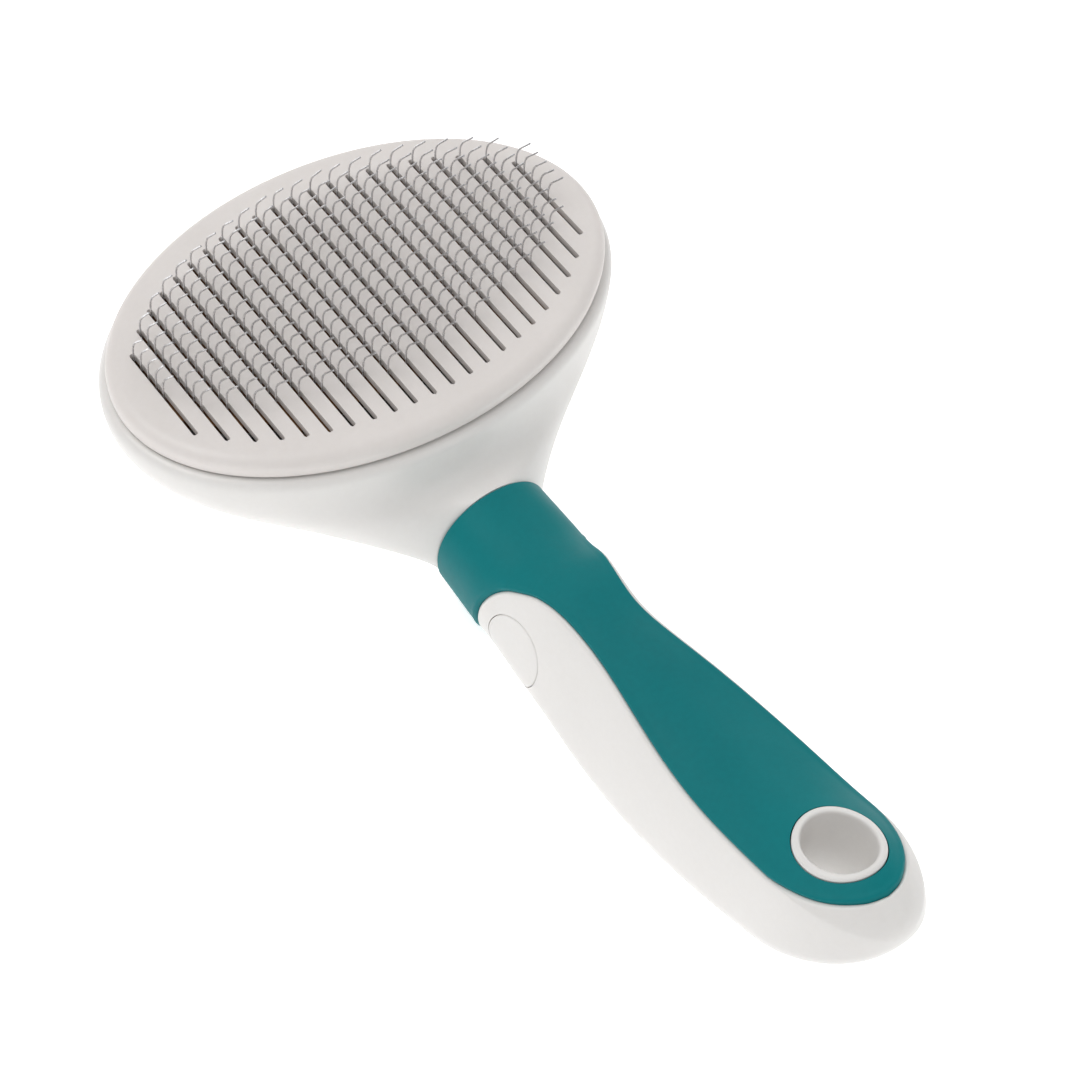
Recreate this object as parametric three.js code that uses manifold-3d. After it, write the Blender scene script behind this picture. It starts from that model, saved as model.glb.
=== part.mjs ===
// Self-cleaning slicker brush: an oval head of bent wire pins that pull back through a slotted
// face when the oval button in the left flank of the neck is pushed in.
// Units are millimetres. The brush is drawn with the pin face in the plane z = 0 and the handle
// along -Y, and the whole group is then set down with its lowest point on z = 0.
import * as THREE from 'three';
import * as BufferGeometryUtils from 'three/addons/utils/BufferGeometryUtils.js';
import Module from 'manifold-3d';

const wasm = await Module();
wasm.setup();

// ---- Driving dimensions ----

// clearances
const GAP = 0.3;
const PIN_FIT = 0.15;

// head: outer rim of the funnel, and the ledge that it leaves round the face plate
const HEAD_CENTRE_Y = 1.4;
const RIM_HALF_X = 54.2;
const RIM_HALF_Y = 37.0;
const RIM_LEDGE = 1.6;
const RIM_Z = -7.0;
const FUNNEL_WALL = 1.5;

// pin field
const SLOT_COUNT = 22;
const SLOT_WIDTH = 1.0;
const FIELD_CENTRE_Y = 1.0;
const PIN_SPACING = 2.7;
const PIN_FIRST = 1.0; // first pin, in from the far end of its slot
const PIN_FREE_END = 9.0; // slot left empty at the handle end
const PIN_WIRE = 0.45;
const PIN_STRAIGHT = 4.0; // height of the bend above the face
const PIN_HEIGHT = 10.0; // height of the tip above the face
const PIN_LEAN = 4.2; // how far the tip leans towards the handle

// face plate: the slots fill an oval field inside a plain border
const FACE_THICKNESS = 1.6;
const FACE_SKIRT = 4.4;
const FACE_WALL = 1.6;
const BORDER_X = 4.3;
const BORDER_Y = 7.0;
const OUTER_SLOT = 4.2; // from the field's edge to the first and last slots
const FACE_HALF_X = RIM_HALF_X - RIM_LEDGE;
const FACE_HALF_Y = RIM_HALF_Y - RIM_LEDGE;
const FIELD_HALF_X = FACE_HALF_X - BORDER_X;
const FIELD_HALF_Y = FACE_HALF_Y - BORDER_Y;
const SLOT_PITCH = (2 * (FIELD_HALF_X - OUTER_SLOT)) / (SLOT_COUNT - 1);

// neck: the round section where the funnel meets the handle
const COLLAR_Y = -43;
const NECK_RADIUS = 12.5;
const NECK_Z = -27.3;
const NECK_END = 11; // behind this the round section turns into the handle's own
const NECK_BLEND = 15;

// handle: share of its length, then half width, height of the widest line, height of the
// underside, half width and height of the shoulders along the grip's edges, rise of the crown
const HANDLE_LENGTH = 120.5;
const HANDLE_STATIONS = [
  [0.0, 12.5, -27.3, -39.8, 8.9, -18.5, 3.7],
  [0.1, 12.7, -28.0, -40.6, 9.0, -18.2, 3.4],
  [0.165, 12.6, -30.0, -41.3, 9.2, -15.2, 2.2],
  [0.232, 12.8, -31.6, -41.7, 7.7, -12.3, 1.2],
  [0.3, 13.3, -32.2, -41.7, 6.7, -12.4, 1.0],
  [0.375, 14.2, -32.3, -41.5, 7.4, -12.0, 1.2],
  [0.465, 15.1, -31.6, -40.7, 9.2, -11.5, 1.5],
  [0.565, 15.6, -29.8, -38.9, 11.0, -11.3, 2.0],
  [0.665, 15.6, -26.9, -36.1, 12.0, -10.3, 2.6],
  [0.765, 15.5, -22.8, -31.8, 12.2, -8.2, 4.1],
  [0.855, 15.3, -18.6, -27.2, 12.3, -5.6, 5.8],
  [1.0, 15.0, -12.0, -20.6, 12.0, -1.0, 6.2],
];
const HANDLE_END_ROUND = 21;
const SECTION_POWER = 2.15;
const FLANK_POWER = 1.22;
const GRIP_THICKNESS = 1.7;
const POCKET_DEPTH = GRIP_THICKNESS + GAP;
const BODY_WALL = 1.7;

// grip: a collar round the neck, and a strip between the shoulders that flares into the collar
const COLLAR_LENGTH = 13.7;
const FLARE_LENGTH = 13.3;
const FLARE_WIDTH = 4;
const STRIP_END = HANDLE_LENGTH - 5.7;
const STRIP_END_ROUND = 15;
const EDGE_DEPTH = 2.6; // how deep the strip's edge reaches into the shell

// hanging hole
const HOLE_BEHIND_COLLAR = HANDLE_LENGTH - 18.5;
const HOLE_HALF_X = 6.1;
const HOLE_HALF_Y = 7.1;
const RING_WALL = 1.6;
const RING_PROUD = 0.4;

// pin carrier
const CARRIER_HALF_X = FACE_HALF_X - FACE_WALL - 3.4;
const CARRIER_HALF_Y = FIELD_HALF_Y - 2.8;
const CARRIER_CENTRE_Y = FIELD_CENTRE_Y + 3.9;
const CARRIER_GAP = 0.5;
const CARRIER_THICKNESS = 2.1;
const BACK_THICKNESS = 1.2;
const SPINE_WIDTH = 1.4;
const SPINE_HEIGHT = 1.0;
const SPINE_MARGIN = 1.2; // comb strip beyond its end pins
const CARRIER_TRAVEL = 10.6;
const CARRIER_SCREWS = [
  [-8 * SLOT_PITCH, 3],
  [8 * SLOT_PITCH, 3],
  [-3 * SLOT_PITCH, -14],
  [3 * SLOT_PITCH, -14],
];
const CARRIER_SCREW_DIAMETER = 1.5;
const CARRIER_SCREW_HEAD = 2.8;

// guide posts and return springs
const POST_DIAMETER = 3;
const POST_X = CARRIER_HALF_X - 22.6;
const POST_Y = CARRIER_CENTRE_Y - CARRIER_HALF_Y + 0.7;
const POST_HOLE = POST_DIAMETER + 0.8;
const POST_FLOOR_Z = -21;
const EAR_DIAMETER = 10;
const SPRING_WIRE = 0.8;
const SPRING_DIAMETER = 7;
const SPRING_TURNS = 4;

// lever that turns the push of the button into the pull on the carrier
const PIVOT_Y = -50;
const PIVOT_Z = -24;
const LEVER_FRONT = 38;
const LEVER_REAR = 17.9;
const LEVER_WIDTH = 5;
const LEVER_DEPTH = 4;
const LEVER_TAPER = 1.6; // how much thinner the lever is at its rear end
const PIVOT_DIAMETER = 3;
const DRIVE_DIAMETER = 2.4;

const CHEEK_X = LEVER_WIDTH / 2 + 0.6; // inside half width of the bracket and of the yoke
const CHEEK_THICKNESS = 2;
const BRACKET_FLOOR_Z = -33.4;
const BRACKET_FLOOR = 1.8;
const BRACKET_SCREWS = [PIVOT_Y - 3.4, PIVOT_Y + 3.4];
const BRACKET_SCREW_DIAMETER = 2;
const BRACKET_SCREW_HEAD = 3.6;

// button
const BUTTON_HALF_Y = 7.3;
const BUTTON_HALF_Z = 7.4;
const BUTTON_Z = -28;
const BUTTON_TRAVEL = 4.0;
const BUTTON_SKIN = 2.0;

// lid over the handle's cavity, under the grip
const LID_INSET = 1.8;
const LID_DEPTH = 6; // from the strip's edge down into the cavity
const LID_FROM = COLLAR_Y - PIVOT_Y + LEVER_REAR + BUTTON_HALF_Y + 0.8; // just behind the button
const LID_TO = HANDLE_LENGTH - 20.5;
const BOSS_DIAMETER = 5;
const LID_SCREWS = [LID_FROM + 14, (LID_FROM + LID_TO) / 2, LID_TO - 16];
const LID_SCREW_DIAMETER = 2.2;
const LID_SCREW_LENGTH = 8.6;

// ---- Materials ----

const plastic = (color, roughness) => new THREE.MeshStandardMaterial({ color, roughness, metalness: 0 });
const metal = (color, roughness) => new THREE.MeshStandardMaterial({ color, roughness, metalness: 1 });
const warmWhite = () => plastic(0xefece8, 0.42);
const faceGrey = () => plastic(0xd9d1cc, 0.5);
const innerGrey = () => plastic(0xb9b9b6, 0.55);
const teal = () => plastic(0x0a7478, 0.62);
const carrierBrown = () => plastic(0x5a3c22, 0.6);
const steel = () => metal(0xa9abad, 0.3);
const springSteel = () => metal(0x7c7f82, 0.35);

// ---- Solids ----

const RIM_SIDES = 40;
const HANDLE_SIDES = 32;
const RING_SPACING = 8; // all the lofts of the handle share these rings, so that their walls stay even
const FUNNEL_STEPS = 8;

// Turns any closed geometry into a manifold solid.
function solid(geometry) {
  const bare = geometry.clone();
  bare.deleteAttribute('normal');
  bare.deleteAttribute('uv');
  const merged = BufferGeometryUtils.mergeVertices(bare, 1e-4);
  return new wasm.Manifold(
    new wasm.Mesh({
      numProp: 3,
      vertProperties: new Float32Array(merged.attributes.position.array),
      triVerts: new Uint32Array(merged.index.array),
    }),
  );
}

function toGeometry(body) {
  const mesh = body.getMesh();
  const geometry = new THREE.BufferGeometry();
  geometry.setAttribute('position', new THREE.BufferAttribute(new Float32Array(mesh.vertProperties), 3));
  geometry.setIndex(new THREE.BufferAttribute(new Uint32Array(mesh.triVerts), 1));
  return geometry;
}

// Closed skin over a row of rings that all have the same number of points.
function skin(rings) {
  const count = rings[0].length;
  const positions = [];
  const index = [];
  for (const ring of rings) {
    for (const p of ring) positions.push(p.x, p.y, p.z);
  }
  for (let r = 0; r + 1 < rings.length; r++) {
    for (let i = 0; i < count; i++) {
      const a = r * count + i;
      const b = r * count + ((i + 1) % count);
      index.push(a, b, b + count, a, b + count, a + count);
    }
  }
  for (const [start, turn] of [[0, 1], [(rings.length - 1) * count, 0]]) {
    const ring = rings[start / count];
    const middle = ring.reduce((sum, p) => sum.add(p), new THREE.Vector3()).divideScalar(count);
    const centre = positions.length / 3;
    positions.push(middle.x, middle.y, middle.z);
    for (let i = 0; i < count; i++) {
      const a = start + i;
      const b = start + ((i + 1) % count);
      index.push(...(turn ? [centre, b, a] : [centre, a, b]));
    }
  }
  const geometry = new THREE.BufferGeometry();
  geometry.setAttribute('position', new THREE.Float32BufferAttribute(positions, 3));
  geometry.setIndex(signedVolume(positions, index) < 0 ? index.reverse() : index);
  return geometry;
}

function signedVolume(positions, index) {
  const [a, b, c] = [new THREE.Vector3(), new THREE.Vector3(), new THREE.Vector3()];
  let volume = 0;
  for (let i = 0; i < index.length; i += 3) {
    [a, b, c].forEach((v, k) => v.fromArray(positions, index[i + k] * 3));
    volume += a.dot(b.cross(c)) / 6;
  }
  return volume;
}

function box(x0, x1, y0, y1, z0, z1) {
  const geometry = new THREE.BoxGeometry(x1 - x0, y1 - y0, z1 - z0);
  return solid(geometry.translate((x0 + x1) / 2, (y0 + y1) / 2, (z0 + z1) / 2));
}

// Cylinder between two points on a line along X, Y or Z.
function rod(diameter, from, to, sides = 20) {
  const a = new THREE.Vector3(...from);
  const b = new THREE.Vector3(...to);
  const geometry = new THREE.CylinderGeometry(diameter / 2, diameter / 2, a.distanceTo(b), sides);
  const direction = b.clone().sub(a).normalize();
  const turn = new THREE.Quaternion().setFromUnitVectors(new THREE.Vector3(0, 1, 0), direction);
  return solid(geometry.applyQuaternion(turn).translate(...a.add(b).multiplyScalar(0.5).toArray()));
}

// Upright prism of a plan outline between two heights.
function prism(shape, z0, z1, curveSegments = 12) {
  const geometry = new THREE.ExtrudeGeometry(shape, { depth: z1 - z0, bevelEnabled: false, curveSegments });
  return solid(geometry.translate(0, 0, z0));
}

function ellipseShape(halfX, halfY, centreY) {
  const shape = new THREE.Shape();
  shape.absellipse(0, centreY, halfX, halfY, 0, Math.PI * 2);
  return shape;
}

function ovalRing(halfX, halfY, centreY, z, count = RIM_SIDES) {
  return Array.from({ length: count }, (_, i) => {
    const angle = (i / count) * Math.PI * 2;
    return new THREE.Vector3(halfX * Math.cos(angle), centreY + halfY * Math.sin(angle), z);
  });
}

// ---- Slots and pin rows ----

const slotX = (row) => (row - (SLOT_COUNT - 1) / 2) * SLOT_PITCH;
const slotHalf = (row) => FIELD_HALF_Y * Math.sqrt(1 - (slotX(row) / FIELD_HALF_X) ** 2);
const slotFar = (row) => FIELD_CENTRE_Y + slotHalf(row);
const slotNear = (row) => FIELD_CENTRE_Y - slotHalf(row);

function pinPositions(row) {
  const positions = [];
  const last = slotNear(row) + PIN_FREE_END;
  for (let y = slotFar(row) - PIN_FIRST; y >= last; y -= PIN_SPACING) positions.push(y);
  return positions;
}

function slotShape(row, width) {
  const x = slotX(row);
  const radius = width / 2;
  const shape = new THREE.Shape();
  shape.absarc(x, slotFar(row) - radius, radius, 0, Math.PI);
  shape.absarc(x, slotNear(row) + radius, radius, Math.PI, Math.PI * 2);
  return shape;
}

const spineTop = -FACE_THICKNESS - CARRIER_GAP - CARRIER_THICKNESS + SPINE_HEIGHT + GAP;
const spineFar = (row) => slotFar(row) - PIN_FIRST + SPINE_MARGIN;
const spineNear = (row) => pinPositions(row).at(-1) - SPINE_MARGIN;

// One bent wire, drawn as a three-sided wire through its three corners.
function bentPin(x, y) {
  const r = PIN_WIRE / 2;
  const lean = Math.atan2(PIN_LEAN, PIN_HEIGHT - PIN_STRAIGHT);
  const ring = (cy, cz, tilt) =>
    [0, 1, 2].map((k) => {
      const angle = ((k * 2 + 0.5) * Math.PI) / 3;
      const along = r * Math.sin(angle);
      const [dy, dz] = [along * Math.cos(tilt), along * Math.sin(tilt)];
      return new THREE.Vector3(x + r * Math.cos(angle), cy + dy, cz + dz);
    });
  return solid(
    skin([
      ring(y, spineTop - SPINE_HEIGHT / 2, 0),
      ring(y, PIN_STRAIGHT, lean / 2),
      ring(y - PIN_LEAN, PIN_HEIGHT, lean),
    ]),
  );
}

function pinRow(row) {
  const x = slotX(row);
  const spine = box(
    x - SPINE_WIDTH / 2,
    x + SPINE_WIDTH / 2,
    spineNear(row),
    spineFar(row),
    spineTop - SPINE_HEIGHT,
    spineTop,
  );
  return pinPositions(row).reduce((body, y) => body.add(bentPin(x, y)), spine);
}

// ---- Face plate ----

function facePlate() {
  const ring = (inset, z) => ovalRing(FACE_HALF_X - inset, FACE_HALF_Y - inset, HEAD_CENTRE_Y, z);
  const roundedEdge = [ring(0, -2.4), ring(0.5, -1.1), ring(1.4, -0.3), ring(2.7, 0)];
  const outer = solid(skin([ring(0.3, -FACE_SKIRT), ...roundedEdge]));
  const wall = FACE_WALL + 0.3;
  const inner = solid(skin([ring(wall, -FACE_SKIRT - 1), ring(wall, -FACE_THICKNESS)]));
  let plate = outer.subtract(inner);
  for (let row = 0; row < SLOT_COUNT; row++) {
    plate = plate.subtract(prism(slotShape(row, SLOT_WIDTH), -FACE_THICKNESS - 1, 1, 2));
  }
  return plate;
}

// ---- Carrier ----

const carrierTop = -FACE_THICKNESS - CARRIER_GAP;
const carrierBottom = carrierTop - CARRIER_THICKNESS;
const backTop = carrierBottom - GAP;
const backBottom = backTop - BACK_THICKNESS;

// Carrier outline with an ear on each side for its guide post.
function carrierPlate(inset, bottom, top) {
  const halfX = CARRIER_HALF_X - inset;
  const halfY = CARRIER_HALF_Y - inset;
  let plate = prism(ellipseShape(halfX, halfY, CARRIER_CENTRE_Y), bottom, top, 20);
  for (const side of [-1, 1]) {
    const x = side * POST_X;
    plate = plate.add(rod(EAR_DIAMETER - inset, [x, POST_Y, bottom], [x, POST_Y, top]));
  }
  return plate;
}

function postHole(side) {
  return rod(POST_HOLE, [side * POST_X, POST_Y, backBottom - 1], [side * POST_X, POST_Y, carrierTop + 1]);
}

function pinCarrier() {
  let plate = carrierPlate(0, carrierBottom, carrierTop);
  for (let row = 0; row < SLOT_COUNT; row++) {
    const x = slotX(row);
    const far = spineFar(row) + GAP;
    const near = spineNear(row) - GAP;
    const half = SPINE_WIDTH / 2 + GAP;
    const grooveTop = spineTop + GAP;
    plate = plate.subtract(box(x - half, x + half, near, far, carrierBottom - 1, grooveTop));
    plate = plate.subtract(box(x - 0.5, x + 0.5, near + 0.6, far - 0.6, grooveTop - 1, carrierTop + 1));
  }
  return carrierBores(plate);
}

// Screw holes and guide post holes through the carrier or its back plate.
function carrierBores(plate) {
  const bore = CARRIER_SCREW_DIAMETER + 2 * PIN_FIT;
  for (const [x, y] of CARRIER_SCREWS) {
    plate = plate.subtract(rod(bore, [x, y, backBottom - 1], [x, y, carrierTop + 1], 12));
  }
  return plate.subtract(postHole(-1)).subtract(postHole(1));
}

// Yoke below the back plate: two cheeks with a slot that the drive pin rides in.
const frontPinY = PIVOT_Y + Math.sqrt(LEVER_FRONT ** 2 - (CARRIER_TRAVEL / 2) ** 2);
const frontPinZ = PIVOT_Z + CARRIER_TRAVEL / 2;

function carrierBack() {
  let plate = carrierPlate(0.4, backBottom, backTop);
  for (const side of [-1, 1]) {
    const [x0, x1] = [side * CHEEK_X, side * (CHEEK_X + CHEEK_THICKNESS)].sort((a, b) => a - b);
    plate = plate.add(box(x0, x1, frontPinY - 4.2, frontPinY + 4.2, frontPinZ - 3.4, backTop - 0.2));
  }
  const slotHalfZ = DRIVE_DIAMETER / 2 + 0.2;
  const slotHalfY = DRIVE_DIAMETER / 2 + 0.7;
  const reach = CHEEK_X + CHEEK_THICKNESS + 1;
  const [y0, y1] = [frontPinY - slotHalfY, frontPinY + slotHalfY];
  const [z0, z1] = [frontPinZ - slotHalfZ, frontPinZ + slotHalfZ];
  return carrierBores(plate.subtract(box(-reach, reach, y0, y1, z0, z1)));
}

function carrierScrew([x, y]) {
  const shank = rod(CARRIER_SCREW_DIAMETER, [x, y, backBottom - 0.6], [x, y, carrierTop - 0.3], 12);
  const headTop = backBottom - GAP;
  return shank.add(rod(CARRIER_SCREW_HEAD, [x, y, headTop - 1.1], [x, y, headTop], 12));
}

// ---- Funnel and handle ----

const handleCurve = new THREE.CubicInterpolant(
  HANDLE_STATIONS.map((row) => row[0] * HANDLE_LENGTH),
  HANDLE_STATIONS.flatMap((row) => row.slice(1)),
  6,
  new Float32Array(6),
);

// Sizes of the handle's section a distance behind the collar's front edge.
function handleSizes(behind) {
  const [halfWidth, widestZ, bottomZ, shoulderX, shoulderZ, crown] = handleCurve.evaluate(behind);
  return { halfWidth, widestZ, bottomZ, shoulderX, shoulderZ, crown, topZ: shoulderZ + crown };
}

// Right half of the handle's own section, by the angle from its top: the crown as far as the
// shoulder at 45 degrees, then the leaning flank, and the round underside from 90 degrees.
function shapedPoint(size, angle) {
  const shoulder = Math.PI / 4;
  if (angle <= shoulder) {
    const t = angle / shoulder;
    return [size.shoulderX * t, size.shoulderZ + size.crown * (1 - t ** 2)];
  }
  const flank = angle <= 2 * shoulder;
  const turn = flank ? (angle - shoulder) * 2 : angle - 2 * shoulder;
  const power = 2 / (flank ? FLANK_POWER : SECTION_POWER);
  const [sine, cosine] = [Math.abs(Math.sin(turn)) ** power, Math.abs(Math.cos(turn)) ** power];
  if (flank) {
    return [
      size.shoulderX + (size.halfWidth - size.shoulderX) * sine,
      size.widestZ + (size.shoulderZ - size.widestZ) * cosine,
    ];
  }
  return [size.halfWidth * cosine, size.widestZ - (size.widestZ - size.bottomZ) * sine];
}

// Right half of the neck's round section, by the angle from its top.
function neckPoint(behind, angle) {
  const along = THREE.MathUtils.clamp(behind / NECK_END, 0, 1);
  const radius = NECK_RADIUS + 0.4 * along;
  const [s, c] = [Math.sin(angle), Math.cos(angle)];
  return [
    radius * Math.abs(s) ** (2 / SECTION_POWER),
    NECK_Z - 0.7 * along + radius * Math.sign(c) * Math.abs(c) ** (2 / SECTION_POWER),
  ];
}

// How far the sections have shrunk towards the handle's round end.
function endShrink(behind, inset) {
  const past = (behind - HANDLE_LENGTH + HANDLE_END_ROUND) / (HANDLE_END_ROUND - inset);
  return Math.sqrt(Math.max(0.0004, 1 - Math.max(0, past) ** 2));
}

// Section of the handle a distance behind the collar's front edge, set in by a wall.
function handleRing(behind, inset) {
  const size = handleSizes(behind);
  const shaped = THREE.MathUtils.smoothstep(behind, NECK_END, NECK_END + NECK_BLEND);
  const middleZ = (size.topZ + size.bottomZ) / 2;
  const halfHeight = (size.topZ - size.bottomZ) / 2;
  const shrink = endShrink(behind, inset);
  const scaleX = (1 - inset / size.halfWidth) * shrink;
  const scaleZ = (1 - inset / halfHeight) * shrink;
  return Array.from({ length: HANDLE_SIDES }, (_, i) => {
    const turn = (i / HANDLE_SIDES) * Math.PI * 2;
    const side = turn > Math.PI ? -1 : 1;
    const angle = Math.min(turn, Math.PI * 2 - turn);
    const [x0, z0] = neckPoint(behind, angle);
    const [x1, z1] = shapedPoint(size, angle);
    const x = THREE.MathUtils.lerp(x0, x1, shaped);
    const z = THREE.MathUtils.lerp(z0, z1, shaped);
    return new THREE.Vector3(side * x * scaleX, COLLAR_Y - behind, middleZ + (z - middleZ) * scaleZ);
  });
}

function handleLoft(inset, from = 0, to = HANDLE_LENGTH - inset) {
  const straightEnd = Math.min(to, HANDLE_LENGTH - HANDLE_END_ROUND);
  const stations = [from];
  for (let s = 0; s < straightEnd - 1; s += RING_SPACING) {
    if (s > from + 0.5) stations.push(s);
  }
  stations.push(straightEnd);
  const capLength = to - straightEnd;
  const capSteps = capLength > 0 ? 6 : 0;
  for (let i = 1; i <= capSteps; i++) {
    stations.push(straightEnd + capLength * Math.sin((i / capSteps) * (Math.PI / 2)));
  }
  return solid(skin(stations.map((s) => handleRing(s, inset))));
}

// Funnel rails: each runs straight down from the rim and arrives at the neck.
function funnelLoft(inset) {
  const [count, steps] = [RIM_SIDES, FUNNEL_STEPS];
  const neckRadius = NECK_RADIUS - inset - GAP;
  const rings = Array.from({ length: steps + 1 }, () => []);
  for (let i = 0; i < count; i++) {
    const angle = (i / count) * Math.PI * 2;
    const [c, s] = [Math.cos(angle), Math.sin(angle)];
    const [halfX, halfY] = [RIM_HALF_X - inset, RIM_HALF_Y - inset];
    const start = new THREE.Vector3(halfX * c, HEAD_CENTRE_Y + halfY * s, RIM_Z);
    const end = new THREE.Vector3(neckRadius * c, COLLAR_Y, NECK_Z - neckRadius * s);
    const drop = s > 0 ? 1.0 - 0.25 * s ** 2 : 1.0 + 0.3 * s ** 2;
    const run = s > 0 ? 0.6 * s ** 2 : 0;
    const bend = start.clone().setZ(start.z + drop * (end.z - start.z));
    const arrive = end.clone().setY(end.y + run * (start.y - end.y));
    const rail = new THREE.CubicBezierCurve3(start, bend, arrive, end);
    rings.forEach((ring, k) => ring.push(rail.getPoint(k / steps)));
  }
  return rings;
}

function funnelOuter() {
  const ring = (inset, z) => ovalRing(RIM_HALF_X - inset, RIM_HALF_Y - inset, HEAD_CENTRE_Y, z);
  return solid(skin([ring(2.6, -4.9), ring(0.9, -5.3), ...funnelLoft(0)]));
}

function funnelInner() {
  const inset = FUNNEL_WALL;
  const mouth = ovalRing(RIM_HALF_X - inset - 1.2, RIM_HALF_Y - inset - 1.2, HEAD_CENTRE_Y, -3);
  return solid(skin([mouth, ...funnelLoft(inset)]));
}

// Half width of the grip strip in plan: from shoulder to shoulder, flared towards the collar and
// rounded off at its end.
function stripHalfWidth(behind) {
  const flare = THREE.MathUtils.clamp((behind - COLLAR_LENGTH) / FLARE_LENGTH, 0, 1);
  const past = Math.max(0, (behind - STRIP_END + STRIP_END_ROUND) / STRIP_END_ROUND);
  const shoulder = handleSizes(behind).shoulderX * endShrink(behind, 0);
  return shoulder * Math.sqrt(Math.max(0, 1 - past ** 2.3)) + FLARE_WIDTH * (1 - flare) ** 2.6;
}

// Height of the strip's edge on the handle's surface.
function stripEdgeZ(behind) {
  const ring = handleRing(behind, 0).slice(0, HANDLE_SIDES / 4 + 1);
  const x = Math.min(stripHalfWidth(behind), ring.at(-1).x);
  const i = Math.max(1, ring.findIndex((p) => p.x >= x));
  const share = (x - ring[i - 1].x) / (ring[i].x - ring[i - 1].x);
  return THREE.MathUtils.lerp(ring[i - 1].z, ring[i].z, share);
}

// Distances behind the collar's front edge at which the strip's outline is drawn.
const roundFrom = STRIP_END - STRIP_END_ROUND;
const flareEnd = COLLAR_LENGTH + FLARE_LENGTH;
const stripStations = [
  ...[0, 0.06, 0.14, 0.25, 0.4, 0.6, 0.8].map((t) => COLLAR_LENGTH + t * FLARE_LENGTH),
  ...Array.from({ length: 12 }, (_, i) => THREE.MathUtils.lerp(flareEnd, roundFrom, i / 12)),
  ...[0, 0.25, 0.48, 0.68, 0.83, 0.93, 0.98].map((t) => roundFrom + t * STRIP_END_ROUND),
];

// Upright prism over the strip's plan outline, grown or shrunk all round, whose floor runs a
// little below the strip's edge.
function stripPrism(grow, depth = EDGE_DEPTH) {
  const ring = (s, behind, halfX) => {
    const [y, floor, top] = [COLLAR_Y - s, stripEdgeZ(behind) - depth - grow, 20];
    return [[-halfX, floor], [halfX, floor], [halfX, top], [-halfX, top]].map(
      ([x, z]) => new THREE.Vector3(x, y, z),
    );
  };
  return solid(
    skin([
      ring(COLLAR_LENGTH - 4, COLLAR_LENGTH, stripHalfWidth(COLLAR_LENGTH) + grow),
      ...stripStations.map((s) => ring(s, s, stripHalfWidth(s) + grow)),
      ring(STRIP_END + grow, STRIP_END, 0.2),
    ]),
  );
}

function collarSlab(extra) {
  return box(-30, 30, COLLAR_Y - COLLAR_LENGTH - extra, COLLAR_Y + 1, -60, 0);
}

const holeY = COLLAR_Y - HOLE_BEHIND_COLLAR;

function ringPrism(grow) {
  const shape = ellipseShape(HOLE_HALF_X + grow, HOLE_HALF_Y + grow, holeY);
  return prism(shape, -45, 12, 16);
}

function gripSleeve() {
  const covered = stripPrism(0).add(collarSlab(0));
  const shell = handleLoft(0).subtract(handleLoft(GRIP_THICKNESS, -2));
  return shell.intersect(covered).subtract(ringPrism(RING_WALL + GAP));
}

function hangRing() {
  const tube = ringPrism(RING_WALL).subtract(ringPrism(0));
  return tube.intersect(handleLoft(-RING_PROUD));
}

function lidRegion(grow) {
  const y1 = COLLAR_Y - LID_FROM + grow;
  return stripPrism(-LID_INSET + grow, LID_DEPTH).intersect(box(-30, 30, -200, y1, -60, 20));
}

// Turns an outline drawn in (y, z) and extruded along Z into one extruded along X.
const sideways = new THREE.Matrix4().makeBasis(
  new THREE.Vector3(0, 1, 0),
  new THREE.Vector3(0, 0, 1),
  new THREE.Vector3(1, 0, 0),
);

// Oval through the left flank of the neck, for the button and its window.
const buttonY = PIVOT_Y - LEVER_REAR;

function flankOval(grow, innerX) {
  const shape = new THREE.Shape();
  shape.absellipse(buttonY, BUTTON_Z, BUTTON_HALF_Y + grow, BUTTON_HALF_Z + grow, 0, Math.PI * 2);
  const options = { depth: 20 + innerX, bevelEnabled: false, curveSegments: 14 };
  const geometry = new THREE.ExtrudeGeometry(shape, options);
  return solid(geometry.applyMatrix4(sideways).translate(-20, 0, 0));
}

// Pillar on the shell's floor that carries a guide post.
function postPillar(side) {
  const [x, y] = [side * POST_X, POST_Y];
  const pillar = rod(SPRING_DIAMETER + 1, [x, y, -40], [x, y, POST_FLOOR_Z - 1 - GAP]);
  return pillar.intersect(funnelOuter());
}

// Flat pad in the neck that the lever bracket is screwed to.
function bracketPad() {
  const half = CHEEK_X + 2;
  const pad = box(-half, half, PIVOT_Y - 6.5, PIVOT_Y + 6.5, -45, BRACKET_FLOOR_Z - GAP);
  return pad.intersect(handleLoft(POCKET_DEPTH, 0, 30));
}

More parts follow.
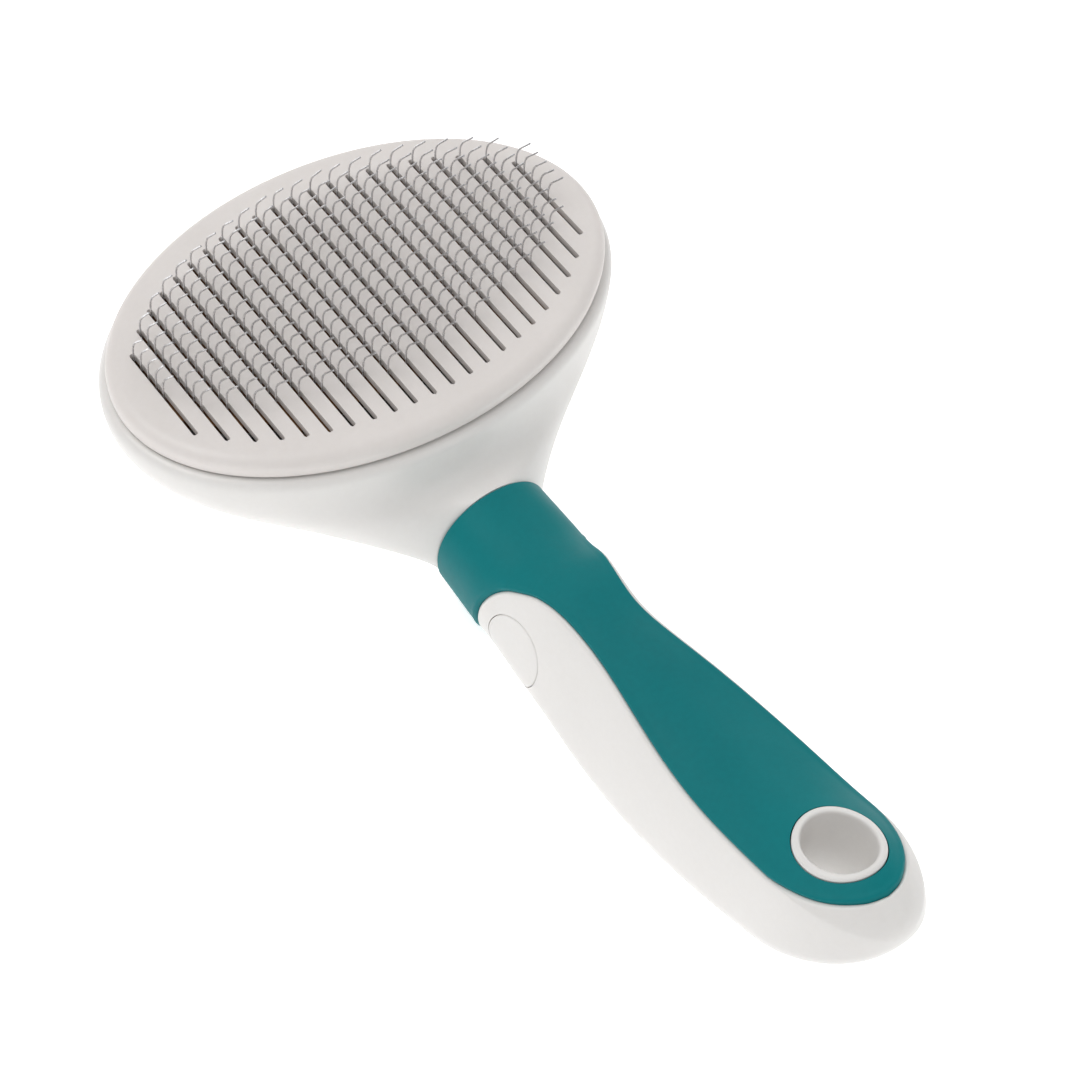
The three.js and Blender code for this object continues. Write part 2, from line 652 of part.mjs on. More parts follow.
function mainBody() {
  const pocket = stripPrism(GAP).add(collarSlab(GAP)).subtract(handleLoft(POCKET_DEPTH, -4));
  const cavityInset = POCKET_DEPTH + BODY_WALL;
  const handle = handleLoft(0, -1).subtract(pocket);
  let body = funnelOuter().add(handle);
  body = body.subtract(funnelInner()).subtract(handleLoft(cavityInset, -3, 92));
  body = body.subtract(lidRegion(GAP).intersect(box(-30, 30, -200, 0, -30, 20)));
  body = body.subtract(ringPrism(RING_WALL + GAP));
  body = body.add(postPillar(-1)).add(postPillar(1)).add(bracketPad());
  for (const y of BRACKET_SCREWS) {
    const bore = BRACKET_SCREW_DIAMETER + 2 * PIN_FIT;
    body = body.subtract(rod(bore, [0, y, BRACKET_FLOOR_Z - 3], [0, y, BRACKET_FLOOR_Z], 12));
  }
  for (const s of LID_SCREWS) {
    const y = COLLAR_Y - s;
    const { bottomZ, topZ } = handleSizes(s);
    const floor = bottomZ + 2;
    const top = topZ - POCKET_DEPTH - BODY_WALL - 3 * GAP;
    body = body.add(rod(BOSS_DIAMETER, [0, y, floor], [0, y, top], 16));
    body = body.subtract(rod(LID_SCREW_DIAMETER + 2 * PIN_FIT, [0, y, top - 9], [0, y, top + 1], 12));
  }
  return body.subtract(flankOval(GAP, -1.5));
}

function handleLid() {
  const inside = handleLoft(POCKET_DEPTH + BODY_WALL, -2, LID_TO + 4);
  const plate = handleLoft(POCKET_DEPTH + GAP, 0, LID_TO).subtract(inside);
  let lid = plate.intersect(lidRegion(0));
  lid = lid.subtract(ringPrism(RING_WALL + GAP));
  for (const s of LID_SCREWS) {
    const y = COLLAR_Y - s;
    lid = lid.subtract(rod(LID_SCREW_DIAMETER + 2 * PIN_FIT, [0, y, -40], [0, y, 10], 12));
  }
  return lid;
}

// ---- Button ----

// Height of the lever's lower face at its rear end, at rest.
const rearBottomZ = PIVOT_Z - (CARRIER_TRAVEL / 2) * (LEVER_REAR / LEVER_FRONT) - LEVER_DEPTH / 2;
const rearLift = CARRIER_TRAVEL * (LEVER_REAR / LEVER_FRONT);

// Pushing the button in slides a ramp under the lever's rear end and lifts it.
function pushButton() {
  const cap = handleLoft(0, 10, 40).subtract(handleLoft(BUTTON_SKIN, 8, 42)).intersect(flankOval(0, -4));
  const footX = -LEVER_WIDTH / 2;
  const footZ = rearBottomZ - 2 * GAP;
  const ramp = new THREE.Shape();
  ramp.moveTo(-11.5, footZ - 5);
  ramp.lineTo(footX + 1, footZ - 5);
  ramp.lineTo(footX + 1, footZ - 1.5);
  ramp.lineTo(footX, footZ);
  ramp.lineTo(footX - BUTTON_TRAVEL, footZ + rearLift);
  ramp.lineTo(-11.5, footZ + rearLift);
  const geometry = new THREE.ExtrudeGeometry(ramp, { depth: 4, bevelEnabled: false });
  geometry.rotateX(Math.PI / 2).translate(0, buttonY + 2, 0);
  return cap.add(solid(geometry));
}

// ---- Lever, its bracket and pins ----

const tilt = Math.asin(CARRIER_TRAVEL / 2 / LEVER_FRONT);

function leverBar() {
  const front = LEVER_FRONT + 3;
  const rear = LEVER_REAR + 2.5;
  const half = LEVER_DEPTH / 2;
  const shape = new THREE.Shape();
  shape.moveTo(-rear, -half);
  shape.lineTo(-5, -half);
  shape.quadraticCurveTo(0, -half - 2.4, 5, -half);
  shape.lineTo(front - half, -half);
  shape.absarc(front - half, 0, half, -Math.PI / 2, Math.PI / 2);
  shape.lineTo(5, half);
  shape.quadraticCurveTo(0, half + 2.4, -5, half);
  shape.lineTo(-rear, half - LEVER_TAPER);
  const depth = LEVER_WIDTH;
  const geometry = new THREE.ExtrudeGeometry(shape, { depth, bevelEnabled: false, curveSegments: 6 });
  geometry.applyMatrix4(sideways).translate(-depth / 2, 0, 0);
  geometry.rotateX(tilt).translate(0, PIVOT_Y, PIVOT_Z);
  const pivotHole = rod(PIVOT_DIAMETER + 2 * PIN_FIT, [-9, PIVOT_Y, PIVOT_Z], [9, PIVOT_Y, PIVOT_Z]);
  const driveHole = rod(DRIVE_DIAMETER + 2 * PIN_FIT, [-9, frontPinY, frontPinZ], [9, frontPinY, frontPinZ]);
  return solid(geometry).subtract(pivotHole).subtract(driveHole);
}

function leverBracket() {
  const outer = CHEEK_X + 2;
  const blank = box(-outer, outer, PIVOT_Y - 6, PIVOT_Y + 6, BRACKET_FLOOR_Z, PIVOT_Z + 3.5);
  const channelZ = BRACKET_FLOOR_Z + BRACKET_FLOOR;
  const channel = box(-CHEEK_X, CHEEK_X, PIVOT_Y - 7, PIVOT_Y + 7, channelZ, PIVOT_Z + 4);
  const pivotBore = rod(PIVOT_DIAMETER + 2 * PIN_FIT, [-9, PIVOT_Y, PIVOT_Z], [9, PIVOT_Y, PIVOT_Z]);
  let bracket = blank.subtract(channel).subtract(pivotBore);
  for (const y of BRACKET_SCREWS) {
    const bore = BRACKET_SCREW_DIAMETER + 2 * PIN_FIT;
    bracket = bracket.subtract(rod(bore, [0, y, BRACKET_FLOOR_Z - 1], [0, y, BRACKET_FLOOR_Z + 3], 12));
  }
  return bracket;
}

function pivotPin() {
  const half = CHEEK_X + 2.2;
  return rod(PIVOT_DIAMETER, [-half, PIVOT_Y, PIVOT_Z], [half, PIVOT_Y, PIVOT_Z]);
}

function drivePin() {
  const half = CHEEK_X + CHEEK_THICKNESS + 0.4;
  return rod(DRIVE_DIAMETER, [-half, frontPinY, frontPinZ], [half, frontPinY, frontPinZ]);
}

function bracketScrew(y) {
  const headBottom = BRACKET_FLOOR_Z + BRACKET_FLOOR + GAP;
  const shank = rod(BRACKET_SCREW_DIAMETER, [0, y, BRACKET_FLOOR_Z - 2.2], [0, y, headBottom + 0.5], 12);
  return shank.add(rod(BRACKET_SCREW_HEAD, [0, y, headBottom], [0, y, headBottom + 1.2], 12));
}

// ---- Guide posts and return springs ----

// Coil drawn as a swept wire with closed ends.
class Helix extends THREE.Curve {
  constructor(radius, turns, z0, z1, x, y) {
    super();
    Object.assign(this, { radius, turns, z0, z1, x, y });
  }

  getPoint(t, target = new THREE.Vector3()) {
    const angle = t * this.turns * Math.PI * 2;
    const z = this.z0 + (this.z1 - this.z0) * t;
    return target.set(this.x + this.radius * Math.cos(angle), this.y + this.radius * Math.sin(angle), z);
  }
}

function returnSpring(side) {
  const radius = (SPRING_DIAMETER - SPRING_WIRE) / 2;
  const path = new Helix(radius, SPRING_TURNS, POST_FLOOR_Z + 1.2, backBottom - 0.9, side * POST_X, POST_Y);
  const section = new THREE.Shape();
  section.absellipse(0, 0, SPRING_WIRE / 2, SPRING_WIRE / 2, 0, Math.PI * 2);
  return solid(
    new THREE.ExtrudeGeometry(section, { steps: SPRING_TURNS * 12, extrudePath: path, curveSegments: 2 }),
  );
}

function guidePost(side) {
  const [x, y] = [side * POST_X, POST_Y];
  const top = -FACE_THICKNESS - GAP;
  const post = rod(POST_DIAMETER, [x, y, POST_FLOOR_Z], [x, y, top], 16);
  return post.add(rod(SPRING_DIAMETER + 1, [x, y, POST_FLOOR_Z - 1], [x, y, POST_FLOOR_Z + 0.5], 20));
}

function lidScrew(s) {
  const y = COLLAR_Y - s;
  const top = handleSizes(s).topZ - POCKET_DEPTH - GAP - 0.4;
  return rod(LID_SCREW_DIAMETER, [0, y, top - LID_SCREW_LENGTH], [0, y, top], 12);
}

// ---- Assembly ----

const brush = new THREE.Group();

function addPiece(name, body, material) {
  const mesh = new THREE.Mesh(toGeometry(body), material);
  mesh.name = name;
  brush.add(mesh);
}

addPiece('face_plate', facePlate(), faceGrey());
for (let row = 0; row < SLOT_COUNT; row++) {
  addPiece(`pin_row_${String(row + 1).padStart(2, '0')}`, pinRow(row), steel());
}
addPiece('pin_carrier', pinCarrier(), carrierBrown());
addPiece('carrier_back', carrierBack(), innerGrey());
CARRIER_SCREWS.forEach((place, i) => addPiece(`carrier_screw_${i + 1}`, carrierScrew(place), springSteel()));
addPiece('main_body', mainBody(), warmWhite());
addPiece('grip_sleeve', gripSleeve(), teal());
addPiece('hang_ring', hangRing(), warmWhite());
addPiece('handle_lid', handleLid(), innerGrey());
addPiece('push_button', pushButton(), warmWhite());
addPiece('lever', leverBar(), innerGrey());
addPiece('lever_bracket', leverBracket(), innerGrey());
addPiece('lever_pivot_pin', pivotPin(), steel());
addPiece('drive_pin', drivePin(), steel());
BRACKET_SCREWS.forEach((y, i) => addPiece(`bracket_screw_${i + 1}`, bracketScrew(y), springSteel()));
LID_SCREWS.forEach((s, i) => addPiece(`lid_screw_${i + 1}`, lidScrew(s), springSteel()));
for (const [name, side] of [['left', -1], ['right', 1]]) {
  addPiece(`guide_post_${name}`, guidePost(side), steel());
  addPiece(`return_spring_${name}`, returnSpring(side), springSteel());
}

// Sets the brush down: origin under the middle of its box, lowest point on z = 0.
const bounds = new THREE.Box3().setFromObject(brush);
const middle = bounds.getCenter(new THREE.Vector3());
brush.position.set(-middle.x, -middle.y, -bounds.min.z);

export default brush;
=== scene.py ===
"""Looks of a self-cleaning slicker brush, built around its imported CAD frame."""
import math
import random

import bmesh
import bpy
import numpy as np
from mathutils import Matrix, Vector
from mathutils.geometry import delaunay_2d_cdt
from mathutils.kdtree import KDTree


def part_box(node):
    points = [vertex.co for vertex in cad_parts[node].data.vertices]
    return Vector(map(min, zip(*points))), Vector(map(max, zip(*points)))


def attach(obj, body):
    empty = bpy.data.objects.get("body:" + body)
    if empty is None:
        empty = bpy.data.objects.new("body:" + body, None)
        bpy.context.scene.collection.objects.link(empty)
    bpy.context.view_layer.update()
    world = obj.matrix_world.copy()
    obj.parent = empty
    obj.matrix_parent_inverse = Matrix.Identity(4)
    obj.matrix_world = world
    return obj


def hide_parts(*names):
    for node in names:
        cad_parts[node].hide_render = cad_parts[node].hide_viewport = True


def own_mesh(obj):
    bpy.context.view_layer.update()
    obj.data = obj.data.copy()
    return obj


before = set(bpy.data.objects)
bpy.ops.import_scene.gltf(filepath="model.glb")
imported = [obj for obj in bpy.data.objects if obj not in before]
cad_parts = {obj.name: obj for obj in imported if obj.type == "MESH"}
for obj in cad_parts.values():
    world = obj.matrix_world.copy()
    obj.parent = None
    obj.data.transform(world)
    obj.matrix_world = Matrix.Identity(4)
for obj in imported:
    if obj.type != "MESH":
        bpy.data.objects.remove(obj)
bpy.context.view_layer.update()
rng = random.Random(22)

MM = 0.001

# ---- Sizes, in millimetres, in the brush's own axes ----
# x runs across the head, y away from the handle, and the pin face lies at z = 0.

HEAD_CENTRE_Y = 1.4
FACE_HALF = (52.6, 35.4)
FACE_THICKNESS = 1.6
FACE_SKIRT = 4.4
FACE_WALL = 1.9
FACE_ROUND = 2.7
RIM_HALF = (54.2, 37.0)
RIM_Z = -7.0
SHELL_WALL = 1.5

SLOT_PITCH = 4.2
SLOT_WIDTH = 1.0
SLOT_BEVEL = 0.14
FIELD_HALF = (48.3, 28.4)
FIELD_CENTRE_Y = 1.0

PIN_SPACING = 2.7
PIN_FIRST = 1.0
PIN_FREE_END = 9.0
PIN_RADIUS = 0.2
PIN_BEND_Z = 4.0
PIN_TIP_Z = 9.85
PIN_LEAN = 4.2
PIN_BEND_ROUND = 2.4
PIN_ROOT_Z = -3.4
COMB_STRIP = (1.4, 1.0, 1.2)  # width, height, length beyond the end pins
PIN_SIDES = 10
PIN_SWAY = 0.2  # most that a tip may stand to one side, so that it still passes through its slot

COLLAR_Y = -43.0
NECK_RADIUS = 12.5
NECK_Z = -27.3
NECK_END = 11.0  # behind this the round section turns into the handle's own
NECK_BLEND = 15.0
HANDLE_LENGTH = 120.5
END_ROUND = 21.0
SECTION_POWER = 2.15
FLANK_POWER = 1.22
SHOULDER = 45.0  # degrees round from the top at which the crown meets the flank
# share of the handle's length, half width, height of the widest line, height of the underside,
# half width and height of the shoulders, rise of the crown between them
HANDLE_STATIONS = [
    (0.0, 12.5, -27.3, -39.8, 8.9, -18.5, 3.7),
    (0.1, 12.7, -28.0, -40.6, 9.0, -18.2, 3.4),
    (0.165, 12.6, -30.0, -41.3, 9.2, -15.2, 2.2),
    (0.232, 12.8, -31.6, -41.7, 7.7, -12.3, 1.2),
    (0.3, 13.3, -32.2, -41.7, 6.7, -12.4, 1.0),
    (0.375, 14.2, -32.3, -41.5, 7.4, -12.0, 1.2),
    (0.465, 15.1, -31.6, -40.7, 9.2, -11.5, 1.5),
    (0.565, 15.6, -29.8, -38.9, 11.0, -11.3, 2.0),
    (0.665, 15.6, -26.9, -36.1, 12.0, -10.3, 2.6),
    (0.765, 15.5, -22.8, -31.8, 12.2, -8.2, 4.1),
    (0.855, 15.3, -18.6, -27.2, 12.3, -5.6, 5.8),
    (1.0, 15.0, -12.0, -20.6, 12.0, -1.0, 6.2),
]
# outline of the grip: distance behind the collar's front edge, degrees round from the top
GRIP_OUTLINE = [
    (13.0, 180),
    (13.1, 150),
    (13.3, 120),
    (13.7, 92),
    (14.4, 76),
    (16.1, 60),
    (18.7, 50),
    (22, 46),
    (27, SHOULDER),
    (44, SHOULDER),
    (62, SHOULDER),
    (80, SHOULDER),
    (98, SHOULDER),
    (103, 42.5),
    (107, 39.5),
    (110.2, 34.5),
    (112.6, 26.5),
    (114.1, 16),
    (114.8, 0),
]
SHOULDER_END = 98.0
GRIP_UNDER = 1.9  # depth of the grip's underside below the handle's surface
GRIP_LIP = 0.16  # how far the moulded bead along the grip's edge stands proud
BEAD_PLACE = 0.75  # distance of the bead's top from the edge
BEAD_SPREAD = 0.55
GRIP_TUCK = (0.35, 0.3)  # how far the grip's edge dips, and how soon that fades
HANDLE_TUCK = (0.42, 0.42)  # the same for the shell's edge
HANDLE_INSET = 0.06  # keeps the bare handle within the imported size
GROOVE = 0.17  # half width of the groove between grip and shell
HANDLE_WALL = 3.7
NECK_TUCK = 0.3  # how far the head's neck stays inside the collar

BUTTON_S = 24.9
BUTTON_Z = -28.0
BUTTON_HALF = (7.3, 7.4)
BUTTON_SKIN = 2.0
BUTTON_GAP = 0.12

HOLE_S = HANDLE_LENGTH - 18.5
HOLE_HALF = (6.1, 7.1)
RING_WALL = 1.6
RING_GAP = 0.2
# rolled lip of the ring in the hanging hole: distance out from the bore, height above the surface
RING_LIP = [
    (1.6, -3.0),
    (1.6, -0.3),
    (1.56, 0.05),
    (1.42, 0.28),
    (1.15, 0.38),
    (0.85, 0.38),
    (0.55, 0.3),
    (0.3, 0.1),
    (0.12, -0.25),
    (0.03, -0.8),
    (0.0, -1.6),
    (0.0, -5.0),
]

POST = (25.0, -20.0)
SPRING_TURNS = 4
SPRING_RADIUS = 3.1
SPRING_WIRE = 0.38  # half the wire's diameter
SPRING_Z = (-19.8, -6.6)
SPRING_STEPS = 260
SPRING_SIDES = 12
SPRING_RISE = ([0, 0.16, 0.84, 1], [0, 0.055, 0.945, 1])  # share of the turns, share of the height

ROUND_COUNT = 208  # points round the head
CUT_COUNT = 120  # points round a hole
SMOOTH_ANGLE = 35  # edges that turn more than this many degrees stay crisp

# ---- Floor, light and camera: sizes in metres ----

FLOOR_HALF = 6.0
FLOOR_GLOW = 0.55
STUDIO_STRENGTH = 0.5
LIGHTS = [  # name, place, target, width, watts
    ("key", (-0.35, 0.25, 0.95), (0, 0, 0.02), 0.7, 4.0),
    ("far_fill", (0.7, 0.7, 0.8), (0, 0, 0.02), 0.9, 2.2),
    ("near_fill", (0.3, -0.9, 0.5), (0, -0.03, 0.02), 0.8, 1.2),
]
CAMERA_TURN = (-38.569, 54.085, 3.457)  # degrees: azimuth, elevation, roll
CAMERA_TARGET = (-5.726, -65.753, 0)  # in the brush's own millimetres
CAMERA_DISTANCE = 0.5420

# ---- Frame ----

face_low, face_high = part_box("face_plate")
ORIGIN = np.array(
    [
        (face_low.x + face_high.x) / 2,
        (face_low.y + face_high.y) / 2 - HEAD_CENTRE_Y * MM,
        face_high.z,
    ]
)
SLOT_COUNT = sum(name.startswith("pin_row_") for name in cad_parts)


def to_row(points):
    """Points in the brush's own millimetres, as metres in the row frame."""
    return np.asarray(points, float) * MM + ORIGIN


# ---- Mesh helpers ----


def new_object(name, mesh, material, smooth_angle=SMOOTH_ANGLE):
    """Links a mesh as an object, with shading that stays crisp at its real edges."""
    obj = bpy.data.objects.new(name, mesh)
    bpy.context.scene.collection.objects.link(obj)
    mesh.materials.append(material)
    mesh.shade_smooth()
    mesh.set_sharp_from_angle(angle=math.radians(smooth_angle))
    return obj


def mesh_from(name, points, faces):
    mesh = bpy.data.meshes.new(name)
    mesh.from_pydata(to_row(points).tolist(), [], faces)
    made = bmesh.new()
    made.from_mesh(mesh)
    bmesh.ops.remove_doubles(made, verts=made.verts, dist=1e-6)
    bmesh.ops.dissolve_degenerate(made, edges=made.edges, dist=5e-7)
    bmesh.ops.recalc_face_normals(made, faces=made.faces)
    made.to_mesh(mesh)
    made.free()
    return mesh


def torus_faces(ring_count, side_count, closed=True):
    """Quads over rings of equally many points; closed joins the last ring to the first."""
    faces = []
    for r in range(ring_count if closed else ring_count - 1):
        a, b = r * side_count, ((r + 1) % ring_count) * side_count
        for i in range(side_count):
            j = (i + 1) % side_count
            faces.append((a + i, a + j, b + j, b + i))
    return faces


def ring_body(rings):
    """Points and faces of a body whose rings follow its section all the way round."""
    return np.concatenate(rings), torus_faces(len(rings), len(rings[0]))


def slab(outer, inner):
    """Points and faces of a closed slab between two grids. Borders that meet get no wall."""
    rows, cols = outer.shape[:2]
    points = np.concatenate([outer.reshape(-1, 3), inner.reshape(-1, 3)])
    half = rows * cols
    faces = []
    for r in range(rows - 1):
        for c in range(cols - 1):
            a, b = r * cols + c, (r + 1) * cols + c
            faces.append((a, a + 1, b + 1, b))
            faces.append((half + b, half + b + 1, half + a + 1, half + a))
    seam = np.linalg.norm(outer[:, 0] - outer[:, -1], axis=1) < 1e-5
    for r in range(rows - 1):
        if seam[r] and seam[r + 1]:
            continue
        for c in (0, cols - 1):
            a, b = r * cols + c, (r + 1) * cols + c
            faces.append((a, b, half + b, half + a) if c == 0 else (b, a, half + a, half + b))
    for r in (0, rows - 1):
        if np.ptp(outer[r], axis=0).max() < 1e-5:
            continue
        for c in range(cols - 1):
            a = r * cols + c
            if r == 0:
                faces.append((a + 1, a, half + a, half + a + 1))
            else:
                faces.append((a, a + 1, half + a + 1, half + a))
    return points, faces


def cut(obj, cutter_points, cutter_faces):
    """Cuts a body out of an object."""
    tool = bpy.data.objects.new("cutter", mesh_from("cutter", cutter_points, cutter_faces))
    bpy.context.scene.collection.objects.link(tool)
    modifier = obj.modifiers.new("cut", "BOOLEAN")
    modifier.operation = "DIFFERENCE"
    modifier.solver = "EXACT"
    modifier.object = tool
    bpy.context.view_layer.update()
    evaluated = obj.evaluated_get(bpy.context.evaluated_depsgraph_get())
    mesh = bpy.data.meshes.new_from_object(evaluated)
    obj.modifiers.clear()
    obj.data = mesh
    mesh.shade_smooth()
    mesh.set_sharp_from_angle(angle=math.radians(SMOOTH_ANGLE))
    bpy.data.objects.remove(tool)


def prism(outline, low, high):
    """Straight prism: its ends are the outline moved by low and the outline moved by high."""
    count = len(outline)
    low_ring, high_ring = outline + low, outline + high
    points = np.concatenate([low_ring, high_ring])
    faces = [tuple(reversed(range(count))), tuple(range(count, 2 * count))]
    faces += [(i, (i + 1) % count, count + (i + 1) % count, count + i) for i in range(count)]
    return points, faces


def turn(count, closed=True):
    """Angles all the way round."""
    return np.linspace(0, 2 * math.pi, count, endpoint=not closed)


def oval(half, centre_y, z, count=ROUND_COUNT):
    angle = turn(count)
    x, y = half[0] * np.cos(angle), centre_y + half[1] * np.sin(angle)
    return np.stack([x, y, np.full(count, float(z))], axis=1)


def inset_oval(half, inset, z, count=ROUND_COUNT):
    return oval((half[0] - inset, half[1] - inset), HEAD_CENTRE_Y, z, count)


# ---- Handle's surface ----


def natural_spline(xs, ys):
    """Smooth curve through points, as a function; ys may hold several columns."""
    xs, ys = np.asarray(xs, float), np.asarray(ys, float)
    n, h = len(xs), np.diff(xs)
    matrix, right = np.eye(n), np.zeros_like(ys)
    for i in range(1, n - 1):
        matrix[i, i - 1 : i + 2] = h[i - 1], 2 * (h[i - 1] + h[i]), h[i]
        right[i] = 6 * ((ys[i + 1] - ys[i]) / h[i] - (ys[i] - ys[i - 1]) / h[i - 1])
    bend = np.linalg.solve(matrix, right)

    def curve(x):
        x = np.clip(np.asarray(x, float), xs[0], xs[-1])
        k = np.clip(np.searchsorted(xs, x, side="right") - 1, 0, n - 2)
        width = h[k][..., None]
        a, b = (xs[k + 1] - x)[..., None], (x - xs[k])[..., None]
        return (
            bend[k] * a**3 / (6 * width)
            + bend[k + 1] * b**3 / (6 * width)
            + (ys[k] / width - bend[k] * width / 6) * a
            + (ys[k + 1] / width - bend[k + 1] * width / 6) * b
        )

    return curve


handle_curve = natural_spline(
    [row[0] * HANDLE_LENGTH for row in HANDLE_STATIONS], [row[1:] for row in HANDLE_STATIONS]
)


def neck_half(s, sine, cosine):
    """Right half of the neck's round section."""
    along = np.clip(s / NECK_END, 0, 1)
    radius = NECK_RADIUS + 0.4 * along
    x = radius * sine ** (2 / SECTION_POWER)
    z = NECK_Z - 0.7 * along + radius * np.sign(cosine) * np.abs(cosine) ** (2 / SECTION_POWER)
    return x, z


def shaped_half(size, degrees):
    """Right half of the handle's own section: crown, leaning flank, round underside."""
    width, widest_z, bottom_z, shoulder_x, shoulder_z, crown = (size[..., k] for k in range(6))
    over = np.clip(degrees / SHOULDER, 0, 1)
    flank = np.radians(np.clip(degrees - SHOULDER, 0, SHOULDER) * 90 / SHOULDER)
    under = np.radians(np.clip(degrees - 2 * SHOULDER, 0, 90))
    lean, belly = 2 / FLANK_POWER, 2 / SECTION_POWER
    flank_x = shoulder_x + (width - shoulder_x) * np.abs(np.sin(flank)) ** lean
    flank_z = widest_z + (shoulder_z - widest_z) * np.abs(np.cos(flank)) ** lean
    under_x = width * np.abs(np.cos(under)) ** belly
    under_z = widest_z - (widest_z - bottom_z) * np.abs(np.sin(under)) ** belly
    on_crown, on_flank = degrees <= SHOULDER, degrees <= 2 * SHOULDER
    x = np.where(on_crown, shoulder_x * over, np.where(on_flank, flank_x, under_x))
    z = np.where(on_crown, shoulder_z + crown * (1 - over**2), np.where(on_flank, flank_z, under_z))
    return x, z


def handle_point(s, degrees, inset=0.0):
    """Point of the handle's surface, set in; degrees run round from the top towards +x."""
    s, degrees, inset = np.broadcast_arrays(np.asarray(s, float), np.asarray(degrees, float), inset)
    size = handle_curve(s)
    away = np.abs((degrees + 180) % 360 - 180)
    side = np.where((degrees % 360) > 180, -1.0, 1.0)
    round_x, round_z = neck_half(s, np.abs(np.sin(np.radians(away))), np.cos(np.radians(away)))
    shaped_x, shaped_z = shaped_half(size, away)
    share = np.clip((s - NECK_END) / NECK_BLEND, 0, 1)
    share = share**2 * (3 - 2 * share)
    x, z = round_x + (shaped_x - round_x) * share, round_z + (shaped_z - round_z) * share
    top, bottom = size[..., 4] + size[..., 5], size[..., 2]
    middle, half_height = (top + bottom) / 2, (top - bottom) / 2
    past = np.clip((s - (HANDLE_LENGTH - END_ROUND)) / (END_ROUND - inset), 0, 1)
    shrink = np.sqrt(np.maximum(0, 1 - past**2))
    x = side * x * (1 - inset / size[..., 0]) * shrink
    z = middle + (z - middle) * (1 - inset / half_height) * shrink
    return np.stack([x, COLLAR_Y - s, z], axis=-1)


def surface_top(x, s, side=1):
    """Height of the handle's upper (side 1) or lower (side -1) surface at a place in plan."""
    degrees = np.linspace(0, 90, 181) if side > 0 else np.linspace(180, 90, 181)
    heights = []
    for across, behind in zip(np.abs(x), np.broadcast_to(s, np.shape(x))):
        section = handle_point(behind, degrees)
        heights.append(np.interp(across, section[:, 0], section[:, 2]))
    return np.array(heights)


def surface_flank(s, z):
    """Half width of the handle's surface at a height."""
    degrees = np.linspace(1, 179, 357)
    widths = []
    for behind, height in zip(np.ravel(s), np.ravel(z)):
        section = handle_point(behind, degrees)
        widths.append(np.interp(-height, -section[:, 2], section[:, 0]))
    return np.array(widths).reshape(np.shape(z))


def grip_outline(count):
    """Evenly spaced (s, degrees) points along the grip's outline, from under the collar to its tip."""
    knots = np.array(GRIP_OUTLINE, float)
    places = handle_point(knots[:, 0], knots[:, 1])
    length = np.concatenate([[0], np.cumsum(np.linalg.norm(np.diff(places, axis=0), axis=1))])
    curve = natural_spline(length, knots)
    outline = curve(np.linspace(0, length[-1], count))
    outline[:, 0] = np.maximum.accumulate(outline[:, 0])
    along_shoulder = outline[:, 0] < SHOULDER_END
    outline[:, 1] = np.clip(outline[:, 1], np.where(along_shoulder, SHOULDER, 0), 180)
    outline[-1, 1] = 0
    outline[0, 1] = 180
    return outline


OUTLINE = grip_outline(330)
EDGE_STEPS = np.array([0, 0.04, 0.1, 0.18, 0.28, 0.4, 0.55, 0.75, 1.0, 1.3, 1.7, 2.2])


def outline_tree():
    """Finds the distance to the grip's outline on both sides of the handle."""
    points = handle_point(OUTLINE[:, 0], OUTLINE[:, 1])
    between = [points[:-1] + (points[1:] - points[:-1]) * k / 4 for k in range(4)]
    dense = np.concatenate(between + [points[-1:]])
    both = np.concatenate([dense, dense * [-1, 1, 1]])
    tree = KDTree(len(both))
    for i, p in enumerate(both):
        tree.insert(Vector(p), i)
    tree.balance()
    return tree


OUTLINE_TREE = outline_tree()


def outline_distance(points):
    flat = points.reshape(-1, 3)
    return np.array([OUTLINE_TREE.find(Vector(p))[2] for p in flat]).reshape(points.shape[:-1])


def edge_drop(distance, radius):
    """How far a rounded edge lies below its surface, by distance from the edge."""
    return radius - np.sqrt(radius**2 - np.clip(radius - distance, 0, radius) ** 2)


def bead(distance):
    """Height of the moulded bead that runs along the grip's edge."""
    return GRIP_LIP * np.exp(-(((distance - BEAD_PLACE) / BEAD_SPREAD) ** 2))


def spread(span, near_edge=EDGE_STEPS, middle=16):
    """Shares 0 to 1 from an edge towards the middle, close together near the edge; span is in mm."""
    steps = near_edge * min(1.0, span / 5.0) / max(span, 1e-6)
    return np.concatenate([steps, np.linspace(steps[-1], 1, middle + 1)[1:]])


def girth(s):
    """Millimetres round the handle for each degree, on average."""
    ring = handle_point(s, np.linspace(0, 180, 61))
    return np.linalg.norm(np.diff(ring, axis=0), axis=1).sum() / 180


# ---- Materials ----

SUBSURFACE_REACH = (2.4, 2.0, 1.6)  # mm, for red, green and blue


